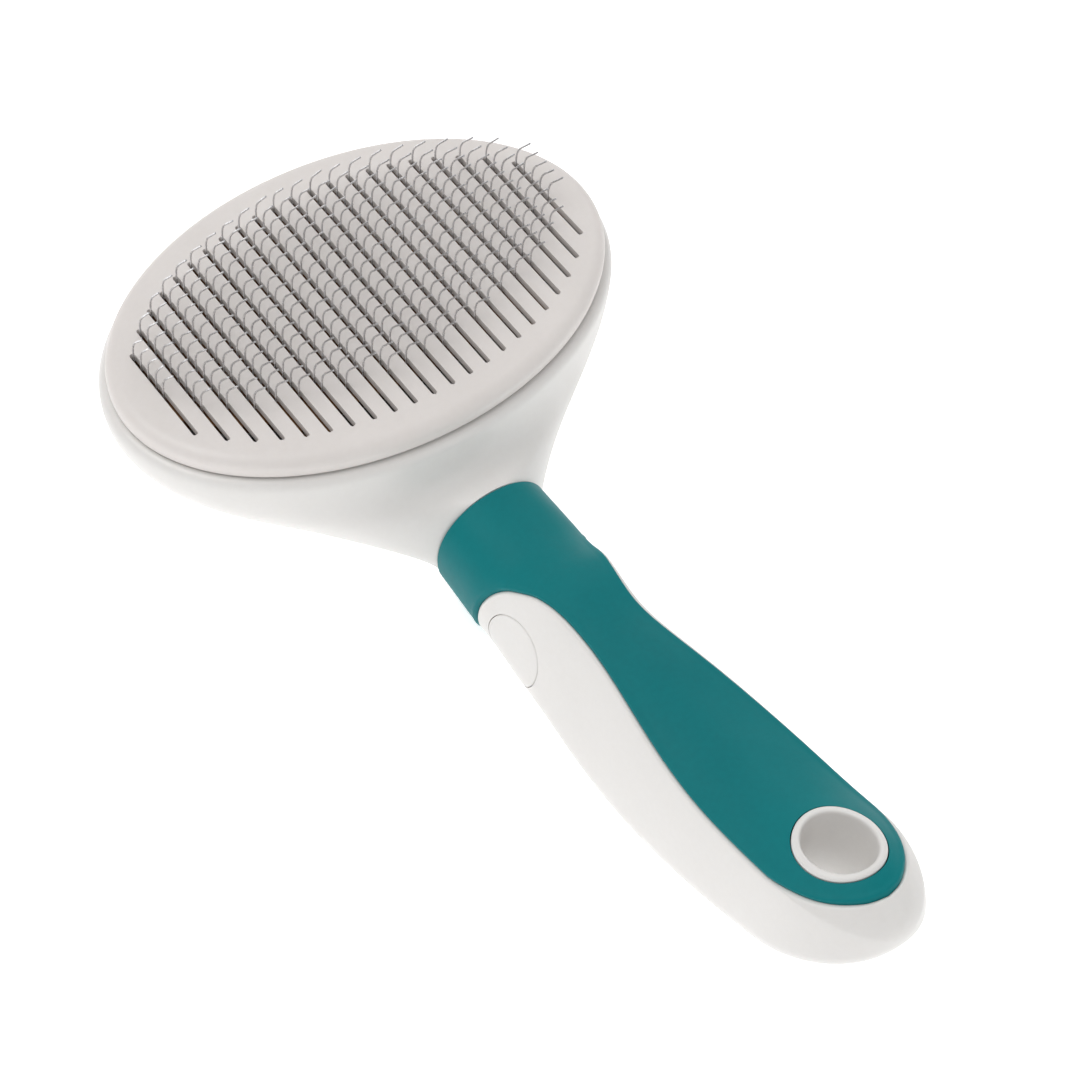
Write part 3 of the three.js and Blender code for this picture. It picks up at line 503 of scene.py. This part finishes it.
class Look:
    """Node-based material with helpers for layered noise."""

    def __init__(self, name, roughness, metallic=0.0, specular=0.5, sheen=0.0, subsurface=0.0):
        self.material = bpy.data.materials.new(name)
        self.material.use_nodes = True
        self.nodes = self.material.node_tree.nodes
        self.links = self.material.node_tree.links
        self.shader = self.nodes["Principled BSDF"]
        self.shader.inputs["Roughness"].default_value = roughness
        self.shader.inputs["Metallic"].default_value = metallic
        self.shader.inputs["Specular IOR Level"].default_value = specular
        self.shader.inputs["Sheen Weight"].default_value = sheen
        self.shader.inputs["Subsurface Weight"].default_value = subsurface
        self.shader.inputs["Subsurface Radius"].default_value = [r * MM for r in SUBSURFACE_REACH]
        self.place = self.nodes.new("ShaderNodeTexCoord").outputs["Object"]

    def noise(self, scale, detail=4.0, stretch=(1, 1, 1)):
        mapping = self.nodes.new("ShaderNodeMapping")
        mapping.inputs["Scale"].default_value = stretch
        texture = self.nodes.new("ShaderNodeTexNoise")
        texture.inputs["Scale"].default_value = scale
        texture.inputs["Detail"].default_value = detail
        self.links.new(self.place, mapping.inputs["Vector"])
        self.links.new(mapping.outputs["Vector"], texture.inputs["Vector"])
        return texture.outputs["Fac"]

    def ramp(self, source, stops):
        """Colour ramp from (position, colour) stops."""
        ramp = self.nodes.new("ShaderNodeValToRGB")
        elements = ramp.color_ramp.elements
        while len(elements) < len(stops):
            elements.new(0.5)
        for element, (position, colour) in zip(elements, stops):
            element.position = position
            element.color = (*colour, 1)
        self.links.new(source, ramp.inputs["Fac"])
        return ramp.outputs["Color"]

    def mix(self, share, first, second):
        mix = self.nodes.new("ShaderNodeMix")
        mix.data_type = "RGBA"
        if isinstance(share, float):
            mix.inputs["Factor"].default_value = share
        else:
            self.links.new(share, mix.inputs["Factor"])
        for socket, value in (("A", first), ("B", second)):
            target = next(i for i in mix.inputs if i.name == socket and i.type == "RGBA")
            if isinstance(value, tuple):
                target.default_value = (*value, 1)
            else:
                self.links.new(value, target)
        return next(o for o in mix.outputs if o.type == "RGBA")

    def bump(self, *layers):
        """Each layer is (source, strength, depth in mm)."""
        normal = None
        for source, strength, depth in layers:
            bump = self.nodes.new("ShaderNodeBump")
            bump.inputs["Strength"].default_value = strength
            bump.inputs["Distance"].default_value = depth * MM
            self.links.new(source, bump.inputs["Height"])
            if normal is not None:
                self.links.new(normal, bump.inputs["Normal"])
            normal = bump.outputs["Normal"]
        self.links.new(normal, self.shader.inputs["Normal"])

    def scaled(self, source, low, high):
        """Maps a noise value, most of which lies between 0.3 and 0.7, onto low to high."""
        spread_node = self.nodes.new("ShaderNodeMapRange")
        spread_node.inputs["From Min"].default_value = 0.3
        spread_node.inputs["From Max"].default_value = 0.7
        spread_node.inputs["To Min"].default_value = low
        spread_node.inputs["To Max"].default_value = high
        self.links.new(source, spread_node.inputs["Value"])
        return spread_node.outputs["Result"]

    def set(self, socket, source):
        self.links.new(source, self.shader.inputs[socket])


def moulded(name, light, dark, roughness, grain_depth, worn, subsurface=0.0, specular=0.5, sheen=0.0):
    """Moulded plastic or rubber: soft flow-line colour variation, spark-eroded grain, handling wear."""
    look = Look(name, roughness, specular=specular, sheen=sheen, subsurface=subsurface)
    flow = look.noise(38, 5, (1, 0.45, 1))
    base = look.ramp(flow, [(0.3, dark), (0.7, light)])
    specks = look.noise(900, 2)
    base = look.mix(look.scaled(specks, 0.0, 0.16), base, worn)
    look.set("Base Color", base)
    handled = look.noise(120, 6, (1, 0.6, 1))
    look.set("Roughness", look.scaled(handled, roughness - 0.06, roughness + 0.08))
    grain = look.noise(5200, 2)
    ripple = look.noise(160, 3)
    look.bump((grain, 0.5, grain_depth), (ripple, 0.35, 0.05))
    return look.material


def drawn_steel(name, light, dark, roughness, stretch):
    """Drawn wire: fine lines along its length, small tone changes and dull spots."""
    look = Look(name, roughness, metallic=1.0)
    lines = look.noise(2600, 3, stretch)
    patches = look.noise(700, 4)
    base = look.ramp(lines, [(0.3, dark), (0.72, light)])
    base = look.mix(look.scaled(patches, 0.0, 0.35), base, dark)
    look.set("Base Color", base)
    look.set("Roughness", look.scaled(patches, roughness - 0.07, roughness + 0.12))
    look.bump((lines, 0.4, 0.01))
    return look.material


WHITE = moulded(
    "warm_white_abs",
    light=(0.79, 0.775, 0.755),
    dark=(0.755, 0.737, 0.717),
    roughness=0.36,
    grain_depth=0.012,
    worn=(0.7, 0.675, 0.65),
    subsurface=0.06,
)
FACE = moulded(
    "pale_face_plastic",
    light=(0.775, 0.735, 0.71),
    dark=(0.725, 0.685, 0.66),
    roughness=0.44,
    grain_depth=0.02,
    worn=(0.67, 0.62, 0.59),
    subsurface=0.04,
)
TEAL = moulded(
    "teal_soft_grip",
    light=(0.0, 0.19, 0.205),
    dark=(0.0, 0.155, 0.17),
    roughness=0.52,
    grain_depth=0.03,
    worn=(0.0, 0.23, 0.24),
    sheen=0.02,
    specular=0.16,
)
INNER = moulded(
    "inner_grey_plastic",
    light=(0.5, 0.5, 0.49),
    dark=(0.42, 0.42, 0.41),
    roughness=0.55,
    grain_depth=0.02,
    worn=(0.36, 0.35, 0.34),
)
BROWN = moulded(
    "brown_carrier_plastic",
    light=(0.2, 0.085, 0.02),
    dark=(0.1, 0.04, 0.01),
    roughness=0.5,
    grain_depth=0.03,
    worn=(0.05, 0.02, 0.008),
)
PIN_STEEL = drawn_steel(
    "drawn_pin_steel",
    light=(0.86, 0.86, 0.87),
    dark=(0.52, 0.52, 0.53),
    roughness=0.26,
    stretch=(1, 1, 0.15),
)
SPRING_STEEL = drawn_steel(
    "zinc_spring_steel",
    light=(0.5, 0.51, 0.53),
    dark=(0.26, 0.27, 0.29),
    roughness=0.36,
    stretch=(1, 1, 0.4),
)

CAD_LOOKS = {
    "handle_lid": INNER,
    "carrier_back": INNER,
    "lever": INNER,
    "lever_bracket": INNER,
    "pin_carrier": BROWN,
    "lever_pivot_pin": PIN_STEEL,
    "drive_pin": PIN_STEEL,
    "guide_post_left": PIN_STEEL,
    "guide_post_right": PIN_STEEL,
}
for node_name, node_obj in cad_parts.items():
    node_obj.data.materials.clear()
    node_obj.data.materials.append(CAD_LOOKS.get(node_name, SPRING_STEEL))


def stand_for(obj, body, slot, *nodes):
    """Puts a detailed piece in place of CAD nodes."""
    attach(obj, body)
    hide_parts(*nodes)


# ---- Slotted face ----


def slot_row(row):
    """Middle x, far end and near end of a slot."""
    x = (row - (SLOT_COUNT - 1) / 2) * SLOT_PITCH
    half = FIELD_HALF[1] * math.sqrt(1 - (x / FIELD_HALF[0]) ** 2)
    return x, FIELD_CENTRE_Y + half, FIELD_CENTRE_Y - half


def slot_ring(row, grow, z, arc=9):
    """Round-ended outline of a slot, with points along its sides."""
    x, far, near = slot_row(row)
    radius = SLOT_WIDTH / 2
    low, high = near + radius, far - radius
    angle = np.linspace(0, math.pi, arc)
    sides = np.linspace(0, 1, 6)[1:-1]
    r = radius + grow
    top = np.stack([x + r * np.cos(angle), high + r * np.sin(angle)], axis=1)
    left = np.stack([np.full(4, x - r), high + (low - high) * sides], axis=1)
    bottom = np.stack([x - r * np.cos(angle), low - r * np.sin(angle)], axis=1)
    right = np.stack([np.full(4, x + r), low + (high - low) * sides], axis=1)
    ring = np.concatenate([top, left, bottom, right])
    return np.column_stack([ring, np.full(len(ring), float(z))])


def in_slot(x, y):
    for row in range(SLOT_COUNT):
        slot_x, far, near = slot_row(row)
        if abs(x - slot_x) < SLOT_WIDTH and near - 0.3 < y < far + 0.3:
            along = min(max(y, near + SLOT_WIDTH / 2), far - SLOT_WIDTH / 2)
            if math.hypot(x - slot_x, y - along) < SLOT_WIDTH / 2 - 0.01:
                return True
    return False


def holed_sheet(rim, holes):
    """Triangles of a flat sheet inside a rim, around holes. Returns triangles over the joined rings."""
    rings = [rim, *holes]
    flat = np.concatenate(rings)[:, :2]
    edges, start = [], 0
    for ring in rings:
        edges += [(start + i, start + (i + 1) % len(ring)) for i in range(len(ring))]
        start += len(ring)
    corners = [Vector(p) for p in flat]
    places, _, triangles, originals, _, _ = delaunay_2d_cdt(corners, edges, [], 1, 1e-6)
    index = [found[0] for found in originals]
    kept = []
    for face in triangles:
        middle = sum((places[i] for i in face), Vector((0, 0))) / len(face)
        if not in_slot(middle.x, middle.y):
            kept.append(tuple(index[i] for i in face))
    return kept


def build_face():
    """Face plate: rounded rim, skirt, flat top and underside, and a softened edge on every slot."""
    half = FACE_HALF
    wall = FACE_WALL
    rounding = []
    for k in range(9, -1, -1):
        angle = k * math.pi / 18
        rounding.append((FACE_ROUND * (1 - math.sin(angle)), -2.3 * (1 - math.cos(angle))))
    profile = [
        (wall, -FACE_THICKNESS),
        (wall, -FACE_SKIRT),
        (0.45, -FACE_SKIRT),
        (0.25, -FACE_SKIRT + 0.2),
        (0.05, -3.2),
    ]
    rings = [inset_oval(half, inset, z) for inset, z in profile + rounding]
    points, faces = [], []
    count = len(rings[0])

    def add(block):
        points.extend(block.tolist())
        return len(points) - len(block)

    starts = [add(ring) for ring in rings]
    for a, b in zip(starts, starts[1:]):
        faces.extend((a + i, a + (i + 1) % count, b + (i + 1) % count, b + i) for i in range(count))
    levels = [
        (SLOT_BEVEL, 0),
        (SLOT_BEVEL * 0.3, -SLOT_BEVEL * 0.3),
        (0, -SLOT_BEVEL),
        (0, -FACE_THICKNESS),
    ]
    slots = [[slot_ring(row, grow, z) for grow, z in levels] for row in range(SLOT_COUNT)]
    slot_starts = [[add(ring) for ring in one] for one in slots]
    for one in slot_starts:
        size = len(slots[0][0])
        for a, b in zip(one, one[1:]):
            faces.extend((a + (i + 1) % size, a + i, b + i, b + (i + 1) % size) for i in range(size))
    for rim_index, level in ((len(rings) - 1, 0), (0, len(levels) - 1)):
        holes = [one[level] for one in slots]
        numbers = list(range(starts[rim_index], starts[rim_index] + count))
        for one in slot_starts:
            numbers += range(one[level], one[level] + len(holes[0]))
        for tri in holed_sheet(rings[rim_index], holes):
            faces.append(tuple(numbers[i] for i in tri))
    obj = new_object("slotted_face", mesh_from("slotted_face", points, faces), FACE, 40)
    flat = obj.modifiers.new("even_shading", "WEIGHTED_NORMAL")
    flat.keep_sharp = True
    stand_for(obj, "shell", "face_plastic", "face_plate")


# ---- Pins ----


def bent_wire(x, y, tip_y, tip_x, tip_z, bend_z):
    """Rings along one wire: straight out of its comb, round the bend, and on to the tip."""
    root, bend = np.array((x, y, PIN_ROOT_Z), float), np.array((x, y, bend_z), float)
    tip = np.array((tip_x, tip_y, tip_z), float)
    up = (bend - root) / np.linalg.norm(bend - root)
    out = (tip - bend) / np.linalg.norm(tip - bend)
    start, end = bend - up * PIN_BEND_ROUND, bend + out * PIN_BEND_ROUND
    path = [root, start]
    for k in range(1, 7):
        t = k / 7
        path.append((1 - t) ** 2 * start + 2 * t * (1 - t) * bend + t**2 * end)
    path += [end, tip - out * 0.12, tip]
    radii = [PIN_RADIUS] * (len(path) - 2) + [PIN_RADIUS * 0.96, PIN_RADIUS * 0.55]
    path, sides = np.array(path), turn(PIN_SIDES)
    tangents = np.gradient(path, axis=0)
    tangents /= np.linalg.norm(tangents, axis=1)[:, None]
    rings = []
    for point, tangent, radius in zip(path, tangents, radii):
        across = np.cross(tangent, (0, 1, 0.001))
        across /= np.linalg.norm(across)
        over = np.cross(tangent, across)
        circle = np.outer(np.cos(sides), across) + np.outer(np.sin(sides), over)
        rings.append(point + radius * circle)
    return rings


def build_pin_row(row):
    """One comb: a bevelled strip and its bent wires, each a little different."""
    x, far, near = slot_row(row)
    places = np.arange(far - PIN_FIRST, near + PIN_FREE_END - 1e-9, -PIN_SPACING)
    points, faces = [], []
    for y in places:
        lean = PIN_LEAN + rng.gauss(0, 0.16)
        sway = max(-PIN_SWAY, min(PIN_SWAY, rng.gauss(0, 0.12)))
        drop = abs(rng.gauss(0, 0.12))
        root_x = x + rng.gauss(0, 0.03)
        bend_z = PIN_BEND_Z + rng.gauss(0, 0.12)
        rings = bent_wire(root_x, y, y - lean, x + sway, PIN_TIP_Z - drop, bend_z)
        start = len(points)
        points.extend(np.concatenate(rings).tolist())
        wall = torus_faces(len(rings), PIN_SIDES, closed=False)
        faces.extend(tuple(start + i for i in f) for f in wall)
        last = start + (len(rings) - 1) * PIN_SIDES
        faces.append(tuple(range(start, start + PIN_SIDES)))
        faces.append(tuple(reversed(range(last, last + PIN_SIDES))))
    width, height, beyond = COMB_STRIP
    top = PIN_ROOT_Z + height / 2
    bevel = 0.15
    ends = [
        (places[-1] - beyond, -bevel),
        (places[-1] - beyond + bevel, 0),
        (places[0] + beyond - bevel, 0),
        (places[0] + beyond, -bevel),
    ]
    strip = []
    for end, size in ends:
        half_x, half_z = width / 2 + size, height / 2 + size
        corners = [
            (-half_x, -half_z + bevel),
            (-half_x + bevel, -half_z),
            (half_x - bevel, -half_z),
            (half_x, -half_z + bevel),
        ]
        corners += [(-a, -b) for a, b in corners]
        strip.append(np.array([(x + a, end, top - height / 2 + b) for a, b in corners]))
    start = len(points)
    points.extend(np.concatenate(strip).tolist())
    faces.extend(tuple(start + i for i in f) for f in torus_faces(4, 8, closed=False))
    faces.append(tuple(range(start, start + 8)))
    faces.append(tuple(reversed(range(start + 24, start + 32))))
    name = f"pin_row_{row + 1:02d}"
    obj = new_object(f"{name}_wires", mesh_from(name, points, faces), PIN_STEEL, 50)
    stand_for(obj, "pin_carriage", "pin_steel", name)


# ---- Funnel of the shell ----


def funnel_rings(inset, radius, steps=44, count=ROUND_COUNT):
    """Rings from the rim down to the neck, each point on its own rail."""
    angle = turn(count)
    c, s = np.cos(angle), np.sin(angle)
    start = inset_oval(RIM_HALF, inset, RIM_Z, count)
    end = np.stack([radius * c, np.full(count, COLLAR_Y + 0.25), NECK_Z - radius * s], axis=1)
    drop = np.where(s > 0, 1.0 - 0.25 * s**2, 1.0 + 0.3 * s**2)
    run = np.where(s > 0, 0.6 * s**2, 0.0)
    bend, arrive = start.copy(), end.copy()
    bend[:, 2] += drop * (end[:, 2] - start[:, 2])
    arrive[:, 1] += run * (start[:, 1] - end[:, 1])
    t = np.linspace(0, 1, steps + 1)[:, None, None]
    first, second = (1 - t) ** 3 * start, 3 * (1 - t) ** 2 * t * bend
    return list(first + second + 3 * (1 - t) * t**2 * arrive + t**3 * end)


def neck_ring(radius, y, count=ROUND_COUNT):
    angle = turn(count)
    x, z = radius * np.cos(angle), NECK_Z - radius * np.sin(angle)
    return np.stack([x, np.full(count, y), z], axis=1)


def build_funnel():
    """Head of the shell: rounded shoulder round the face, swept wall, neck tucked in the collar."""
    shoulder = [(2.6, -4.95), (1.7, -4.92), (1.15, -5.05), (0.7, -5.35), (0.32, -5.8), (0.08, -6.35)]
    outer = [inset_oval(RIM_HALF, inset, z) for inset, z in shoulder]
    radius = NECK_RADIUS - NECK_TUCK
    outer += funnel_rings(0, radius)
    tuck = [neck_ring(radius - 0.35, COLLAR_Y + 0.12), neck_ring(radius - 1.75, COLLAR_Y + 0.1)]
    tuck += [neck_ring(radius - 2.1, COLLAR_Y - 3.5), neck_ring(radius - SHELL_WALL - 1.6, COLLAR_Y - 3.5)]
    inner = list(reversed(funnel_rings(SHELL_WALL, NECK_RADIUS - HANDLE_WALL)))
    mouth = [inset_oval(RIM_HALF, 2.7, -5.4)]
    points, faces = ring_body(outer + tuck + inner + mouth)
    obj = new_object("shell_head", mesh_from("shell_head", points, faces), WHITE)
    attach(obj, "shell")
    return obj


# ---- Handle ----


def hole_cutter(grow):
    """Upright prism through the handle, round the hanging hole."""
    angle = turn(CUT_COUNT)
    half_x, half_y = HOLE_HALF[0] + grow, HOLE_HALF[1] + grow
    x, y = half_x * np.cos(angle), COLLAR_Y - HOLE_S + half_y * np.sin(angle)
    outline = np.stack([x, y, 0 * angle], axis=1)
    return prism(outline, np.array([0, 0, -60]), np.array([0, 0, 20]))


def button_cutter(grow):
    """Sideways prism through the left flank, round the button."""
    angle = turn(CUT_COUNT)
    y, z = COLLAR_Y - BUTTON_S, BUTTON_Z
    half_y, half_z = BUTTON_HALF[0] + grow, BUTTON_HALF[1] + grow
    outline = np.stack([0 * angle, y + half_y * np.cos(angle), z + half_z * np.sin(angle)], axis=1)
    return prism(outline, np.array([-25, 0, 0]), np.array([-1.5, 0, 0]))


def build_handle():
    """Lower shell of the handle: everything the grip leaves bare, in one closed slab."""
    rows_s, rows_edge = [], []
    for s, edge in OUTLINE:
        rows_s.append(s)
        rows_edge.append(edge)
    tail = OUTLINE[-1, 0] + np.array([0.04, 0.1, 0.18, 0.28, 0.42, 0.62, 0.9, 1.3, 1.8])
    rest = tail[-1] + (HANDLE_LENGTH - tail[-1]) * np.sin(np.linspace(0, math.pi / 2, 15)[1:])
    rows_s += [*tail, *rest]
    rows_edge += [0.0] * (len(tail) + len(rest))
    grid_s, grid_degrees = [], []
    for s, edge in zip(rows_s, rows_edge):
        span = max((180 - edge) * float(girth(min(s, HANDLE_LENGTH - 0.5))), 1e-6)
        share = spread(span, middle=26)
        side = edge + (180 - edge) * share
        grid_degrees.append(np.concatenate([side, 360 - side[::-1][1:]]))
        grid_s.append(np.full(len(grid_degrees[-1]), s))
    s, degrees = np.array(grid_s), np.array(grid_degrees)
    distance = outline_distance(handle_point(s, degrees))
    depth, reach = HANDLE_TUCK
    tuck = depth * np.exp(-((distance / reach) ** 2))
    inset = HANDLE_INSET + tuck + edge_drop(distance, GROOVE * 2)
    outer, inner = handle_point(s, degrees, inset), handle_point(s, degrees, HANDLE_WALL)
    outer[-1], inner[-1] = outer[-1].mean(axis=0), inner[-1].mean(axis=0)
    points, faces = slab(outer, inner)
    obj = new_object("shell_handle", mesh_from("shell_handle", points, faces), WHITE)
    cut(obj, *hole_cutter(RING_WALL + RING_GAP))
    cut(obj, *button_cutter(BUTTON_GAP))
    stand_for(obj, "shell", "white_shell", "main_body")


def build_grip():
    """Soft grip: a full collar that narrows into a waisted strip, with a bead along its edge."""
    collar = [0, 0.05, 0.14, 0.28, 0.48, 0.8, 1.3, *range(2, 11)]
    collar += [OUTLINE[0, 0] - d for d in (2.2, 1.6, 1.2, 0.9, 0.65, 0.45, 0.3, 0.18, 0.08)]
    rows = [(s, 180.0) for s in collar] + [tuple(row) for row in OUTLINE]
    grid_s, grid_degrees = [], []
    for s, edge in rows:
        span = max(edge * float(girth(s)), 1e-6)
        side = edge * (1 - spread(span, middle=52))
        grid_degrees.append(np.concatenate([side, -side[::-1][1:]]))
        grid_s.append(np.full(len(grid_degrees[-1]), s))
    s, degrees = np.array(grid_s), np.array(grid_degrees)
    distance = outline_distance(handle_point(s, degrees))
    raised = bead(distance) * np.clip(distance / 0.2, 0, 1)
    inset = edge_drop(distance, 0.3) + edge_drop(s, 0.5) - raised
    depth, reach = GRIP_TUCK
    tuck = depth * np.exp(-((distance / reach) ** 2))
    outer = handle_point(s, degrees, inset + tuck)
    inner = handle_point(s, degrees, GRIP_UNDER)
    points, faces = slab(outer, inner)
    obj = new_object("soft_grip", mesh_from("soft_grip", points, faces), TEAL)
    cut(obj, *hole_cutter(RING_WALL + RING_GAP))
    stand_for(obj, "shell", "soft_grip", "grip_sleeve")


def build_hang_ring():
    """Hard ring through the handle: straight bore, rolled lip on top and underneath."""
    angle = turn(128)

    def ring(grow, height, side):
        half_x, half_y = HOLE_HALF[0] + grow, HOLE_HALF[1] + grow
        x, y = half_x * np.cos(angle), half_y * np.sin(angle)
        z = surface_top(x, HOLE_S - y, side) + side * height
        return np.stack([x, COLLAR_Y - HOLE_S + y, z], axis=1)

    rings = [ring(grow, height, 1) for grow, height in RING_LIP]
    rings += [ring(grow, height, -1) for grow, height in reversed(RING_LIP)]
    points, faces = ring_body(rings)
    obj = new_object("hang_ring_lip", mesh_from("hang_ring_lip", points, faces), WHITE, 60)
    stand_for(obj, "shell", "white_shell", "hang_ring")


def build_button():
    """Oval push button: a cap that follows the flank, with a softened edge."""
    shares = np.array([0, 0.12, 0.25, 0.4, 0.55, 0.7, 0.82, 0.9, 0.94, 0.965, 0.98, 0.992, 1.0])
    angle = turn(97, closed=False)
    share, around = np.meshgrid(shares, angle, indexing="ij")
    y = BUTTON_HALF[0] * share * np.cos(around)
    z = BUTTON_Z + BUTTON_HALF[1] * share * np.sin(around)
    flank = surface_flank(BUTTON_S - y, z)
    edge = edge_drop((1 - share) * BUTTON_HALF[0], 0.3)
    outer = np.stack([-(flank - edge), COLLAR_Y - BUTTON_S + y, z], axis=-1)
    inner = outer.copy()
    inner[..., 0] += BUTTON_SKIN - edge
    points, faces = slab(outer[::-1], inner[::-1])
    obj = new_object("flank_button_cap", mesh_from("flank_button_cap", points, faces), WHITE)
    stand_for(obj, "flank_button", "white_shell", "push_button")


def build_return_spring(side, name):
    """Coil of round wire round a guide post, with its end turns closed up."""
    t = np.linspace(0, 1, SPRING_STEPS)
    angle = t * SPRING_TURNS * 2 * math.pi
    rise = np.interp(t, *SPRING_RISE)
    path = np.stack(
        [
            side * POST[0] + SPRING_RADIUS * np.cos(angle),
            POST[1] + SPRING_RADIUS * np.sin(angle),
            SPRING_Z[0] + (SPRING_Z[1] - SPRING_Z[0]) * rise,
        ],
        axis=1,
    )
    tangents = np.gradient(path, axis=0)
    tangents /= np.linalg.norm(tangents, axis=1)[:, None]
    sides = turn(SPRING_SIDES)
    rings = []
    for point, tangent in zip(path, tangents):
        across = np.cross(tangent, (0, 0, 1))
        across /= np.linalg.norm(across)
        over = np.cross(tangent, across)
        circle = np.outer(np.cos(sides), across) + np.outer(np.sin(sides), over)
        rings.append(point + SPRING_WIRE * circle)
    points = np.concatenate(rings)
    last = (len(rings) - 1) * SPRING_SIDES
    faces = torus_faces(len(rings), SPRING_SIDES, closed=False)
    faces += [tuple(range(SPRING_SIDES)), tuple(reversed(range(last, last + SPRING_SIDES)))]
    obj = new_object(f"{name}_coil", mesh_from(name, points, faces), SPRING_STEEL, 60)
    stand_for(obj, "shell", "spring_steel", name)
    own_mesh(obj)


build_face()
build_return_spring(-1, "return_spring_left")
build_return_spring(1, "return_spring_right")
for row_number in range(SLOT_COUNT):
    build_pin_row(row_number)
build_funnel()
build_handle()
build_grip()
build_hang_ring()
build_button()

# ---- Stage ----


def build_floor():
    """Pale floor that glows a little, so that it stays nearly white."""
    look = Look("pale_floor", 0.9, specular=0.1)
    tones = [(0.3, (0.93, 0.93, 0.93)), (0.7, (0.95, 0.95, 0.95))]
    look.set("Base Color", look.ramp(look.noise(6, 3), tones))
    look.shader.inputs["Emission Color"].default_value = (1, 1, 1, 1)
    look.shader.inputs["Emission Strength"].default_value = FLOOR_GLOW
    size = FLOOR_HALF
    mesh = bpy.data.meshes.new("floor")
    corners = [(-size, -size, 0), (size, -size, 0), (size, size, 0), (-size, size, 0)]
    mesh.from_pydata(corners, [], [(0, 1, 2, 3)])
    floor = bpy.data.objects.new("floor", mesh)
    bpy.context.scene.collection.objects.link(floor)
    mesh.materials.append(look.material)


def area_light(name, place, target, size, power):
    light = bpy.data.lights.new(name, "AREA")
    light.shape = "DISK"
    light.size = size
    light.energy = power
    obj = bpy.data.objects.new(name, light)
    bpy.context.scene.collection.objects.link(obj)
    obj.location = place
    obj.rotation_euler = (Vector(target) - Vector(place)).to_track_quat("-Z", "Y").to_euler()


def build_camera():
    """Camera that looks down at the face from behind and left of the handle."""
    azimuth, elevation, roll = (math.radians(a) for a in CAMERA_TURN)
    target = Vector(to_row(CAMERA_TARGET))
    back = Vector(
        (
            math.sin(azimuth) * math.cos(elevation),
            -math.cos(azimuth) * math.cos(elevation),
            math.sin(elevation),
        )
    )
    level = Vector((math.cos(azimuth), math.sin(azimuth), 0))
    right = level * math.cos(roll) + level.cross(-back) * math.sin(roll)
    up = back.cross(right)
    data = bpy.data.cameras.new("camera")
    data.sensor_width = 36
    data.lens = 100
    data.clip_start = 0.01
    data.clip_end = 20
    camera = bpy.data.objects.new("camera", data)
    bpy.context.scene.collection.objects.link(camera)
    turn_matrix = Matrix((right, up, back)).transposed().to_4x4()
    camera.matrix_world = Matrix.Translation(target + back * CAMERA_DISTANCE) @ turn_matrix
    bpy.context.scene.camera = camera


build_floor()
build_camera()
for light_row in LIGHTS:
    area_light(*light_row)

world = bpy.data.worlds.new("studio")
world.use_nodes = True
world.node_tree.nodes["Background"].inputs["Color"].default_value = (1, 1, 1, 1)
world.node_tree.nodes["Background"].inputs["Strength"].default_value = STUDIO_STRENGTH
bpy.context.scene.world = world
bpy.context.scene.view_settings.view_transform = "Standard"
